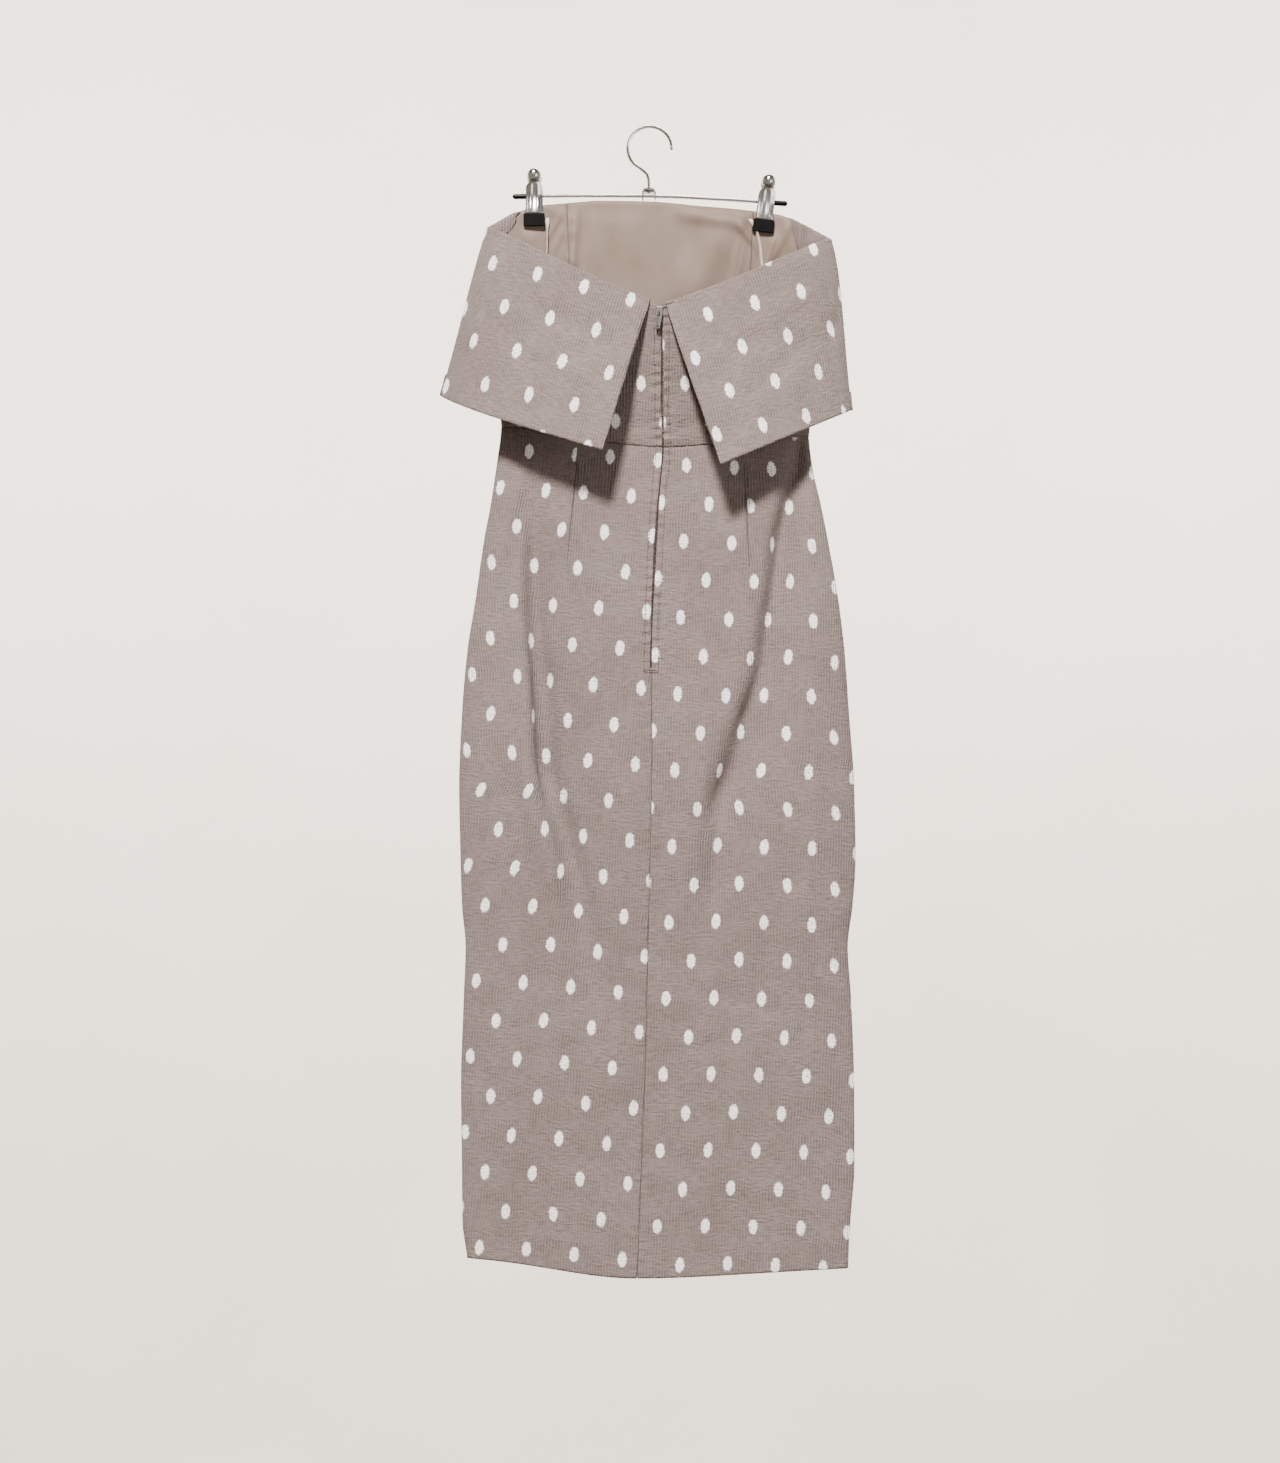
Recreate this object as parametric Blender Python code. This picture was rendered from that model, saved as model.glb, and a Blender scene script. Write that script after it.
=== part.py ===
"""A strapless midi dress with a fold-over cuff, hung by its front edge from a clip hanger.

The dress hangs with its back to the viewer. Left and right are the viewer's left and right, seen
from behind the dress. +X is right, +Y runs from the viewer through the dress, +Z is up. The origin
is the underside of the top of the hanger's hook, where a rail would carry it. Sizes are in
millimetres and become metres where a mesh is made.
"""
import math

import bmesh
import bpy
import numpy as np
from mathutils import Vector

for old in list(bpy.data.objects):
    bpy.data.objects.remove(old, do_unlink=True)

MM = 0.001

# Cloth thickness and the gaps that part the solids
SHELL_CLOTH = 1.8
LINING_CLOTH = 1.0
TAPE_CLOTH = 0.9
RIBBON_CLOTH = 0.8
GAP = 0.3

# Fold-over cuff
CUFF_DROP_FRONT = 180.0
CUFF_BACK_LEFT_START = -0.5
CUFF_BACK_RIGHT_START = 17.0
CUFF_SLACK = 0.7
CUFF_TOP_PULL = 0.55
CUFF_TOP_FLARE = 0.3
CUFF_END_PULL = 1.0

# Zip
ZIP_TOP = -200.0
ZIP_BOTTOM = -592.0
ZIP_TAPE_WIDTH = 24.0
TAPE_SLACK = 0.7
TAPE_BELOW_EDGE = 6.0
SLIDER_BELOW_EDGE = 1.5
SLIDER_ASIDE = -2.6
SLIDER_WIDTH = 6.6
SLIDER_HEIGHT = 9.0
SLIDER_THICKNESS = 2.4
BRIDGE_WIDTH = 1.5
BRIDGE_REACH = 2.9
BRIDGE_THICKNESS = 0.8
BRIDGE_HEIGHT = 5.0
TAB_LENGTH = 20.0
TAB_TOP_WIDTH = 7.0
TAB_FOOT_WIDTH = 4.8
TAB_THICKNESS = 1.1
TAB_SLOT_WIDTH = 2.6
TAB_SLOT_LENGTH = 5.4
TAB_EYE_RADIUS = 0.9
TAB_EYE_ABOVE_FOOT = 2.6
TAB_HEAD = 0.55
TAB_LEAN = math.radians(6.0)

# Ribbon hanging loops
RIBBON_WIDTH = 4.4
RIBBON_ROWS = 12

# Clip hanger. The neck stands a little left of the hook's middle.
WIRE_RADIUS = 1.65
HOOK_RADIUS = 24.0
HOOK_ACROSS = -0.5
HOOK_TIP_DEGREES = 6
TIP_RADIUS = 2.1
NECK_ACROSS = -1.2
BAR_RADIUS = 1.75
BAR_HALF = 146.0
SPRING_LENGTH = 11.0
SPRING_RADIUS = 3.2
PAD_WIDTH = 23.0
PAD_HEIGHT = 13.7
PAD_THICKNESS = 3.6
PAD_TOP_BELOW_BAR = 20.3
PAD_MIDDLE = -(PAD_TOP_BELOW_BAR + PAD_HEIGHT / 2)
JAW_OVER_PAD = 0.4
BRACKET_WIDTH = 15.0
BRACKET_DEPTH = 9.0
BRACKET_SHEET = 1.5
BRACKET_TOP = -69.4
BRACKET_FOOT = -78.6
NUT_RADIUS = 6.8
NUT_HEIGHT = 2.4
CAP_LENGTH = 15.0
CAP_RADIUS = 2.9
CAP_OVERLAP = 11.0


def table(columns, *rows):
    """Named columns of a short table, one row for each section."""
    return dict(zip(columns.split(), np.array(rows, float).T))


def through(keys, values, at):
    """Smooth curve through table values that never overshoots them."""
    order = np.argsort(keys)
    x = np.asarray(keys, float)[order]
    y = np.asarray(values, float)[order]
    at = min(max(at, x[0]), x[-1])
    step = np.diff(x)
    rise = np.diff(y) / step
    slope = np.empty(len(x))
    slope[0] = rise[0]
    slope[-1] = rise[-1]
    for k in range(1, len(x) - 1):
        same_way = rise[k - 1] * rise[k] > 0
        slope[k] = 2 * rise[k - 1] * rise[k] / (rise[k - 1] + rise[k]) if same_way else 0.0
    k = min(int(np.searchsorted(x, at, side="right")) - 1, len(step) - 1)
    s = (at - x[k]) / step[k]
    start = (1 + 2 * s) * (1 - s) ** 2 * y[k] + s * (1 - s) ** 2 * step[k] * slope[k]
    end = s * s * (3 - 2 * s) * y[k + 1] + s * s * (s - 1) * step[k] * slope[k + 1]
    return start + end


def smooth_step(s):
    s = min(max(s, 0.0), 1.0)
    return s * s * (3 - 2 * s)


def mix(a, b, s):
    return a + (b - a) * s


def unit(vector):
    return vector / np.linalg.norm(vector)


# The centre back seam's place, across
CENTRE_BACK = table(
    "level across",
    (-198, 12.4), (-300, 12.5), (-349, 14.0), (-400, 9.7), (-470, 5.0), (-588, 1.0), (-667, 2.0),
    (-883, -2.3), (-1008, -5.0), (-1108, -8.7), (-1250, -14.2),
)

# The skirt's sections: the outline at each side and how far the back and front stand out
SKIRT = table(
    "level left right back front",
    (-326, -162, 172, -16, 10),
    (-338, -163, 173, -17, 10),
    (-370, -167.5, 177, -20, 13),
    (-410, -173.5, 186, -23, 15),
    (-450, -181, 194, -25, 17),
    (-513, -190, 205, -27, 19),
    (-570, -199, 212, -28, 20),
    (-640, -205, 217, -28, 21),
    (-718, -208, 222.5, -27, 21),
    (-797, -206.5, 224, -24, 21),
    (-845, -205, 221, -22, 21),
    (-893, -201, 215.5, -21, 20),
    (-947, -203, 219, -20, 20),
    (-1045, -206, 222.5, -18, 19),
    (-1130, -205, 222.8, -17, 18),
    (-1190, -204.5, 218.5, -16, 18),
    (-1225, -200, 216.5, -15, 17),
    (-1252, -196, 216, -15, 17),
)
SKIRT_SIDE_DEPTH = -1.0
SKIRT_BACK_POWER = 2.4
SKIRT_FRONT_POWER = 2.4

# The two long folds of the back: where the trough runs, how deep it is, how wide its steep
# left wall and its soft right wall are
FOLD_RIGHT = table(
    "level across depth steep soft",
    (-338, 166, 2, 7, 10),
    (-370, 157.5, 9, 8, 13),
    (-414, 148, 15, 8, 15),
    (-451, 141, 18, 9, 17),
    (-490, 136, 19, 9, 20),
    (-542, 129, 19, 10, 24),
    (-600, 119, 17, 12, 28),
    (-648, 104, 15, 14, 32),
    (-718, 84, 12, 18, 36),
    (-790, 72.5, 8, 22, 40),
    (-850, 65, 4, 26, 44),
    (-950, 55, 0, 30, 48),
)
FOLD_LEFT = table(
    "level across depth steep soft",
    (-345, -134, 0, 12, 24),
    (-428, -126, 8, 11, 28),
    (-482, -124, 12, 11, 30),
    (-566, -122, 14, 11, 34),
    (-610, -114, 15, 12, 36),
    (-690, -110, 14, 14, 40),
    (-735, -97, 12, 16, 40),
    (-781, -84, 9, 18, 42),
    (-857, -77, 6, 22, 44),
    (-927, -62, 3, 26, 46),
    (-1000, -50, 0, 30, 50),
)
# The front hangs in two shallower folds of the same kind
FRONT_FOLD_LEFT = table(
    "level across depth steep soft",
    (-360, -120, 0, 16, 30),
    (-470, -112, 7, 16, 34),
    (-620, -98, 9, 18, 38),
    (-800, -70, 6, 24, 44),
    (-960, -48, 0, 30, 50),
)
FRONT_FOLD_RIGHT = table(
    "level across depth steep soft",
    (-350, 128, 0, 24, 16),
    (-440, 122, 6, 28, 16),
    (-560, 112, 9, 34, 18),
    (-740, 86, 7, 40, 24),
    (-1010, 58, 0, 46, 30),
)

# Heights of the waist seam and the hem at the seams
WAIST = dict(back=-350.0, left=-326.5, right=-338.0, front=-334.0)
HEM = dict(back=-1250.5, left=-1231.0, right=-1242.0, front=-1240.0)

# The neckline: the back droops to a point at the zip, the clips hold the front's top edge level
NECK_LEFT = -175.5
NECK_RIGHT = 195.0
NECK_LEFT_HEIGHT = -110.0
NECK_RIGHT_HEIGHT = -122.5
NECK_BACK_HEIGHT = -197.0
NECK_BACK_DEPTH = -36.0
NECK_SIDE_DEPTH = -12.0
NECK_FRONT_DEPTH = 1.0
NECK_BACK_POWER = 2.2
NECK_FRONT_POWER = 2.7
NECK_DROOP_POWER = 1.15
NECK_FRONT = table(
    "across level",
    (-175.5, -110.0), (-140.6, -90.7), (-116.6, -83.9), (-93.7, -81.7), (-52.3, -78.6),
    (0, -79.4), (53.4, -84.4), (98, -88.3), (137.3, -93.7), (150.4, -98.3), (195, -122.5),
)

# The cuff's free edge, at the centre back corners and at the sides
CUFF_CORNER_LEFT = (-50.4, -80.0, -360.2)
CUFF_CORNER_RIGHT = (73.9, -80.0, -375.6)
CUFF_SIDE_LEFT = (-226.4, -19.0, -294.5)
CUFF_SIDE_RIGHT = (218.3, -17.0, -309.9)
CUFF_FRONT_DEPTH = 19.0
CUFF_EDGE_BACK_POWER = 1.35
CUFF_EDGE_FRONT_POWER = 2.8

# How far the cuff's cloth turns inside past the roll, round the neckline from the centre back
# over the left side, the front and the right side. Negative stops part way over the roll.
CUFF_LIP = table(
    "turn length",
    (0.0, 0.5), (0.7, 0.5), (0.86, -6.6), (1.07, -6.6), (1.14, 5), (1.25, 12), (1.34, 6),
    (1.4, -6.6), (2.53, -6.6), (2.6, 9), (2.7, 23), (2.8, 21), (2.87, 2), (2.93, -6.6),
    (3.14, -6.6), (3.3, 0.5), (4.0, 0.5),
)

QUARTER = math.pi / 2


def superellipse(fraction, power):
    return max(1.0 - abs(fraction) ** power, 0.0) ** (1.0 / power)


def around(angle, closed=True):
    """Splits the angle round a section, from the centre back over the left side."""
    if closed and not 0 <= angle <= 4 * QUARTER:
        angle -= math.copysign(4 * QUARTER, angle)
    left = angle <= 2 * QUARTER
    back = angle <= QUARTER or angle >= 3 * QUARTER
    return (math.sin(angle) if left else -math.sin(angle)), left, back


def ring_height(angle, heights):
    fraction, left, back = around(angle)
    side = heights["left"] if left else heights["right"]
    middle = heights["back"] if back else heights["front"]
    return mix(side, middle, smooth_step(1 - fraction))


def trough(fold, across, level, steep_left):
    """How far a fold pushes the cloth in."""
    depth = through(fold["level"], fold["depth"], level)
    if level > fold["level"].max() or level < fold["level"].min():
        depth = 0.0
    steep = through(fold["level"], fold["steep"], level)
    soft = through(fold["level"], fold["soft"], level)
    away = across - through(fold["level"], fold["across"], level)
    on_left = away < 0
    width = steep if on_left == steep_left else soft
    return depth * math.exp(-((away / width) ** 2))


def skirt_ring(angle, level):
    fraction, left, back = around(angle)
    side = through(SKIRT["level"], SKIRT["left" if left else "right"], level)
    centre = through(CENTRE_BACK["level"], CENTRE_BACK["across"], level)
    across = mix(centre, side, fraction)
    clear_of_side = smooth_step((1 - fraction) / 0.1)
    if back:
        reach = through(SKIRT["level"], SKIRT["back"], level) - SKIRT_SIDE_DEPTH
        depth = SKIRT_SIDE_DEPTH + reach * superellipse(fraction, SKIRT_BACK_POWER)
        depth += clear_of_side * trough(FOLD_RIGHT, across, level, True)
        depth += clear_of_side * trough(FOLD_LEFT, across, level, True)
    else:
        reach = through(SKIRT["level"], SKIRT["front"], level) - SKIRT_SIDE_DEPTH
        depth = SKIRT_SIDE_DEPTH + reach * superellipse(fraction, SKIRT_FRONT_POWER)
        depth -= clear_of_side * trough(FRONT_FOLD_LEFT, across, level, True)
        depth -= clear_of_side * trough(FRONT_FOLD_RIGHT, across, level, False)
    return across, depth


def skirt(angle, down):
    """The skirt's outer face. down runs from 0 at the waist seam to 1 at the hem."""
    level = mix(ring_height(angle, WAIST), ring_height(angle, HEM), down)
    across, depth = skirt_ring(angle, level)
    return np.array((across, depth, level))


# Across the top of the cuff, outwards from the bodice's outer face
ROLL_OUTER = CUFF_SLACK + SHELL_CLOTH
ROLL_INNER = -(SHELL_CLOTH + GAP + LINING_CLOTH + CUFF_SLACK + SHELL_CLOTH)
ROLL_RADIUS = (ROLL_OUTER - ROLL_INNER) / 2
ROLL_CENTRE = (ROLL_OUTER + ROLL_INNER) / 2
ROLL_ARC = math.pi * ROLL_RADIUS


def neckline(angle):
    """Top edge of the bodice's outer face. The cuff's roll rises over it to the heights given."""
    fraction, left, back = around(angle)
    centre = CENTRE_BACK["across"][0]
    across = mix(centre, NECK_LEFT if left else NECK_RIGHT, fraction)
    if back:
        side = NECK_LEFT_HEIGHT if left else NECK_RIGHT_HEIGHT
        level = mix(NECK_BACK_HEIGHT, side, abs(fraction) ** NECK_DROOP_POWER)
        out = superellipse(fraction, NECK_BACK_POWER)
        depth = mix(NECK_SIDE_DEPTH, NECK_BACK_DEPTH, out)
    else:
        level = through(NECK_FRONT["across"], NECK_FRONT["level"], across)
        out = superellipse(fraction, NECK_FRONT_POWER)
        depth = mix(NECK_SIDE_DEPTH, NECK_FRONT_DEPTH, out)
    return np.array((across, depth, level - ROLL_RADIUS))


def bodice(angle, down):
    """The bodice's outer face. down runs from 0 at the neckline to 1 at the waist seam."""
    top = neckline(angle)
    level = ring_height(angle, WAIST)
    across, depth = skirt_ring(angle, level)
    return mix(top, np.array((across, depth, level)), down)


def outward(surface, a, b, level_only):
    """Unit normal of a surface, away from the hollow."""
    step = 1e-4
    along = surface(a + step, b) - surface(a - step, b)
    down = surface(a, b + step) - surface(a, b - step)
    normal = np.cross(along, down)
    if level_only:
        normal[2] = 0.0
    return unit(normal)


def cuff_angles(turn):
    """Angle on the neckline and on the cuff's free edge for a turn from 0 to 4."""
    centre = CENTRE_BACK["across"][0]
    left_start = math.asin((centre - CUFF_BACK_LEFT_START) / (centre - NECK_LEFT))
    right_start = math.asin((CUFF_BACK_RIGHT_START - centre) / (NECK_RIGHT - centre))
    if turn <= 1:
        return mix(left_start, QUARTER, turn), turn * QUARTER
    if turn >= 3:
        return mix(3 * QUARTER, 4 * QUARTER - right_start, turn - 3), turn * QUARTER
    return turn * QUARTER, turn * QUARTER


def cuff_edge(angle):
    """The cuff's free lower edge, on the outer face."""
    fraction, left, back = around(angle, closed=False)
    side = CUFF_SIDE_LEFT if left else CUFF_SIDE_RIGHT
    corner = CUFF_CORNER_LEFT if left else CUFF_CORNER_RIGHT
    if back:
        across = mix(corner[0], side[0], fraction)
        out = superellipse(fraction, CUFF_EDGE_BACK_POWER)
        depth = mix(side[1], corner[1], out)
        level = mix(side[2], corner[2], (1 - fraction) ** (0.8 if left else 0.95))
    else:
        across = mix(CENTRE_BACK["across"][0], side[0], fraction)
        out = superellipse(fraction, CUFF_EDGE_FRONT_POWER)
        depth = mix(side[1], CUFF_FRONT_DEPTH, out)
        middle = neckline(2 * QUARTER)[2] - CUFF_DROP_FRONT
        level = mix(middle, side[2], fraction ** 2)
    return np.array((across, depth, level))


def cuff(turn, path):
    """The cuff's outer face. path 0 to 1 is the lip and the roll, 1 to 2 the drop."""
    top_angle, edge_angle = cuff_angles(turn)
    corner = neckline(top_angle)
    step = 1e-3
    along = unit(neckline(top_angle + step) - neckline(top_angle - step))
    away = unit(np.cross(along, (0.0, 0.0, -1.0)))
    up = unit(np.cross(away, along))
    if up[2] < 0:
        up = -up
    if path <= 1:
        lip = through(CUFF_LIP["turn"], CUFF_LIP["length"], turn)
        run = mix(-lip, ROLL_ARC, path)
        if run < 0:
            return corner + away * ROLL_INNER + up * run
        swing = math.pi * (1 - run / ROLL_ARC)
        out = ROLL_CENTRE + ROLL_RADIUS * math.cos(swing)
        return corner + away * out + up * ROLL_RADIUS * math.sin(swing)
    start = corner + away * ROLL_OUTER
    end = cuff_edge(edge_angle)
    span = end - start
    length = np.linalg.norm(span)
    leave = (CUFF_TOP_FLARE * away - up) * length * CUFF_TOP_PULL
    arrive = span * CUFF_END_PULL
    s = path - 1
    point = (1 + 2 * s) * (1 - s) ** 2 * start + s * (1 - s) ** 2 * leave
    return point + s * s * (3 - 2 * s) * end + s * s * (s - 1) * arrive


# Objects and materials

collection = bpy.data.collections.new("strapless_dress")
bpy.context.scene.collection.children.link(collection)
cutters = bpy.data.collections.new("cutters")
bpy.context.scene.collection.children.link(cutters)


def finish(name, colour, roughness, metallic=0.0):
    material = bpy.data.materials.new(name)
    material.use_nodes = True
    shader = material.node_tree.nodes["Principled BSDF"]
    shader.inputs["Base Color"].default_value = (*colour, 1.0)
    shader.inputs["Roughness"].default_value = roughness
    shader.inputs["Metallic"].default_value = metallic
    return material


SPOTTED_WEAVE = finish("spotted ribbed weave", (0.36, 0.29, 0.27), 0.9)
LINING_SATIN = finish("lining satin", (0.45, 0.36, 0.32), 0.45)
PALE_RIBBON = finish("pale satin ribbon", (0.8, 0.7, 0.66), 0.4)
ZIP_METAL = finish("bright zip metal", (0.7, 0.68, 0.66), 0.3, 1.0)
ZIP_TAPE = finish("woven zip tape", (0.2, 0.15, 0.14), 0.9)
CHROME = finish("chromed steel", (0.8, 0.8, 0.8), 0.1, 1.0)
BLACK_RUBBER = finish("black rubber", (0.01, 0.01, 0.01), 0.5)


def add_object(name, mesh, material, smooth=True):
    item = bpy.data.objects.new(name, mesh)
    collection.objects.link(item)
    mesh.materials.append(material)
    if smooth:
        mesh.shade_smooth()
        mesh.set_sharp_from_angle(angle=math.radians(40))
    return item


def draw_in(grid, seams):
    """Moves a panel's edge points in by half the seam gap."""
    half = GAP / 2
    columns = len(grid[0]) - 1
    for row in grid:
        if "start" in seams:
            row[0] = row[0] + unit(row[1] - row[0]) * half
        if "end" in seams:
            row[columns] = row[columns] + unit(row[columns - 1] - row[columns]) * half
    for index, neighbour, word in ((0, 1, "top"), (-1, -2, "foot")):
        if word in seams:
            edge = [p + unit(q - p) * half for p, q in zip(grid[index], grid[neighbour])]
            grid[index] = edge


def wall(name, face, back, material):
    """A closed wall between two grids of points, row by row, joined round their edges."""
    width = len(face[0])
    height = len(face)
    inside = width * height
    points = [p * MM for grid in (face, back) for row in grid for p in row]
    faces = []
    for r in range(height - 1):
        for c in range(width - 1):
            k = r * width + c
            faces.append((k, k + width, k + width + 1, k + 1))
            faces.append((inside + k, inside + k + 1, inside + k + width + 1, inside + k + width))
    rim = list(range(width))
    rim += [r * width + width - 1 for r in range(1, height)]
    rim += [(height - 1) * width + c for c in range(width - 2, -1, -1)]
    rim += [r * width for r in range(height - 2, 0, -1)]
    faces += [(a, b, inside + b, inside + a) for a, b in zip(rim, rim[1:] + rim[:1])]
    mesh = bpy.data.meshes.new(name)
    mesh.from_pydata([tuple(p) for p in points], [], faces)
    shape = bmesh.new()
    shape.from_mesh(mesh)
    bmesh.ops.recalc_face_normals(shape, faces=shape.faces[:])
    shape.to_mesh(mesh)
    shape.free()
    return add_object(name, mesh, material)


def panel(name, surface, columns, rows, material, cloth=SHELL_CLOTH, under=0.0, level_only=True,
          seams=()):
    """A wall of cloth lofted through sections: outer points, and inner points under them."""
    outer = []
    inner = []
    for b in rows:
        angles = columns(b) if callable(columns) else columns
        points = [surface(a, b) for a in angles]
        normals = [outward(surface, a, b, level_only) for a in angles]
        outer.append([p - n * under for p, n in zip(points, normals)])
        inner.append([p - n * (under + cloth) for p, n in zip(points, normals)])
    draw_in(outer, seams)
    draw_in(inner, seams)
    return wall(name, outer, inner, material)


# Skirt

SKIRT_ROWS = np.linspace(0.0, 1.0, 25)
SKIRT_FRONT_ROWS = np.linspace(0.0, 1.0, 19)
FRONT_COLUMNS = np.linspace(QUARTER, 3 * QUARTER, 23)
CALM_COLUMNS = 4
FOLD_COLUMNS = 9
SIDE_COLUMNS = 5


def fold_columns(fold, left):
    """Columns that follow a fold down the panel, close together across it."""
    def angles(down):
        level = mix(WAIST["back"], HEM["back"], down)
        centre = through(CENTRE_BACK["level"], CENTRE_BACK["across"], level)
        side = through(SKIRT["level"], SKIRT["left" if left else "right"], level)
        across = through(fold["level"], fold["across"], level)
        steep = 1.7 * through(fold["level"], fold["steep"], level)
        soft = 1.7 * through(fold["level"], fold["soft"], level)
        near, far = (across + soft, across - steep) if left else (across - steep, across + soft)
        inner = min(max((near - centre) / (side - centre), 0.1), 0.86)
        outer = min(max((far - centre) / (side - centre), inner + 0.06), 0.97)
        calm = np.linspace(0, math.asin(inner), CALM_COLUMNS + 1)
        busy = np.linspace(math.asin(inner), math.asin(outer), FOLD_COLUMNS + 1)
        end = np.linspace(math.asin(outer), QUARTER, SIDE_COLUMNS + 1)
        run = np.concatenate((calm, busy[1:], end[1:]))
        return run if left else 4 * QUARTER - run[::-1]
    return angles


def build_skirt():
    panel("skirt_back_left", skirt, fold_columns(FOLD_LEFT, True), SKIRT_ROWS, SPOTTED_WEAVE,
          seams=("start", "end", "top"))
    panel("skirt_back_right", skirt, fold_columns(FOLD_RIGHT, False), SKIRT_ROWS, SPOTTED_WEAVE,
          seams=("start", "end", "top"))
    panel("skirt_front", skirt, FRONT_COLUMNS, SKIRT_FRONT_ROWS, SPOTTED_WEAVE,
          seams=("start", "end", "top"))


# Bodice and lining

BODICE_ROWS = np.linspace(0.002, 1.0, 7)
LINING_SEAM_LEFT = 1.63 * QUARTER
LINING_SEAM_RIGHT = 2.37 * QUARTER
LINING_UNDER = SHELL_CLOTH + GAP
LINING_RISE = 0.012
LINING_TUCK = 0.012


def lining_surface(angle, down):
    """Follows the bodice, and rises beside the roll where the cuff has no lip."""
    turn = angle / QUARTER
    bare = smooth_step((turn - 1.45) / 0.08) * smooth_step((2.5 - turn) / 0.08)
    return bodice(angle, mix(mix(LINING_TUCK, -LINING_RISE, bare), 1.0, down))


def build_bodice():
    for name, fold in (("left", FOLD_LEFT), ("right", FOLD_RIGHT)):
        angles = fold_columns(fold, name == "left")(0.0)
        panel(f"bodice_back_{name}", bodice, angles, BODICE_ROWS, SPOTTED_WEAVE,
              seams=("start", "end", "foot"))
    panel("bodice_front", bodice, FRONT_COLUMNS, BODICE_ROWS, SPOTTED_WEAVE,
          seams=("start", "end", "foot"))


def build_lining():
    ends = (1.18 * QUARTER, LINING_SEAM_LEFT, LINING_SEAM_RIGHT, 2.82 * QUARTER)
    names = ("side_left", "centre", "side_right")
    for name, start, end in zip(names, ends, ends[1:]):
        angles = np.linspace(start, end, 9 if name == "centre" else 10)
        panel(f"lining_{name}", lining_surface, angles, BODICE_ROWS, LINING_SATIN,
              cloth=LINING_CLOTH, under=LINING_UNDER, seams=("start", "end", "foot"))


# Cuff

ROLL_ROWS = list(np.linspace(0.0, 1.0, 8))
DROP_ROWS = [1.03, 1.1, 1.22, 1.38, 1.56, 1.74, 1.88, 2.0]


def build_cuff():
    rows = ROLL_ROWS + DROP_ROWS
    spans = (("back_left", 0, 1, 12), ("front", 1, 3, 29), ("back_right", 3, 4, 12))
    for name, start, end, count in spans:
        panel(f"cuff_{name}", cuff, np.linspace(start, end, count), rows, SPOTTED_WEAVE,
              level_only=False, seams=("start", "end"))


# Places on the front lining, the back and the cuff for what is fixed to them

def front_point(across, level, under):
    """A point that lies a given depth under the bodice front's outer face."""
    angle = 2 * QUARTER
    down = 0.5
    for _ in range(12):
        centre = bodice(2 * QUARTER, down)[0]
        left = across < centre
        side = bodice(QUARTER if left else 3 * QUARTER, down)[0]
        swing = math.asin(min((across - centre) / (side - centre), 1.0))
        angle = 2 * QUARTER - swing if left else 2 * QUARTER + swing
        top = bodice(angle, 0.0)[2]
        foot = bodice(angle, 1.0)[2]
        down = (level - top) / (foot - top)
    return bodice(angle, down) - outward(bodice, angle, down, True) * under


def back_point(offset, level, under):
    """A point beside the centre back seam, a given depth under the outer face."""
    side = "left" if offset < 0 else "right"
    centre = through(CENTRE_BACK["level"], CENTRE_BACK["across"], level)
    waist = WAIST["back"]
    if level > waist:
        angle = 0.0
        for _ in range(6):
            top = neckline(angle)[2]
            down = (level - top) / (ring_height(angle, WAIST) - top)
            far = bodice(QUARTER if offset < 0 else 3 * QUARTER, down)[0]
            middle = bodice(0.0, down)[0]
            swing = math.asin(offset / (far - middle))
            angle = swing if offset < 0 else -swing
        return bodice(angle, down) - outward(bodice, angle, down, True) * under
    far = through(SKIRT["level"], SKIRT[side], level)
    swing = math.asin(offset / (far - centre))
    angle = swing if offset < 0 else -swing
    down = (level - waist) / (HEM["back"] - waist)
    return skirt(angle, down) - outward(skirt, angle, down, True) * under


def build_zip_tape():
    """The tape lies inside, under both back panels."""
    half = ZIP_TAPE_WIDTH / 2

    def tape(offset, level):
        return back_point(offset, level, SHELL_CLOTH + TAPE_SLACK)

    def under_tape(offset, level):
        return back_point(offset, level, SHELL_CLOTH + TAPE_SLACK + TAPE_CLOTH)

    offsets = (-half, -half / 3, half / 3, half)
    above = np.linspace(ZIP_TOP - TAPE_BELOW_EDGE, WAIST["back"], 6)
    levels = list(above) + list(np.linspace(WAIST["back"], ZIP_BOTTOM, 9)[1:])
    face, back = ([[side(a, b) for a in offsets] for b in levels] for side in (tape, under_tape))
    wall("zip_tape", face, back, ZIP_TAPE)


# Ribbon loops: level and place across, from the clip down to the side seam at the waist
RIBBON_LEFT = table(
    "level across",
    (-99, -111.6), (-120, -111.8), (-151, -113.5), (-200, -122), (-260, -138), (-322, -150),
)
RIBBON_RIGHT = table(
    "level across",
    (-100, 109.0), (-112, 115.0), (-130, 119.5), (-153, 122), (-200, 132), (-260, 148), (-326, 160),
)


def build_ribbons():
    half = RIBBON_WIDTH / 2
    under = LINING_UNDER + LINING_CLOTH + GAP
    for name, run in (("left", RIBBON_LEFT), ("right", RIBBON_RIGHT)):
        grids = ([], [])
        for level in np.linspace(run["level"].max(), run["level"].min(), RIBBON_ROWS):
            across = through(run["level"], run["across"], level)
            for grid, depth in zip(grids, (under, under + RIBBON_CLOTH)):
                grid.append([front_point(across + side, level, depth) for side in (-half, half)])
        wall(f"hanging_loop_{name}", *grids, PALE_RIBBON)


# Hard pieces

def tube(name, points, radius, material, resolution=2):
    curve = bpy.data.curves.new(name, "CURVE")
    curve.dimensions = "3D"
    curve.bevel_depth = radius * MM
    curve.bevel_resolution = resolution
    curve.use_fill_caps = True
    spline = curve.splines.new("POLY")
    spline.points.add(len(points) - 1)
    for slot, point in zip(spline.points, points):
        slot.co = (*(np.array(point) * MM), 1.0)
    item = bpy.data.objects.new(name, curve)
    collection.objects.link(item)
    curve.materials.append(material)
    return item


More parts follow.
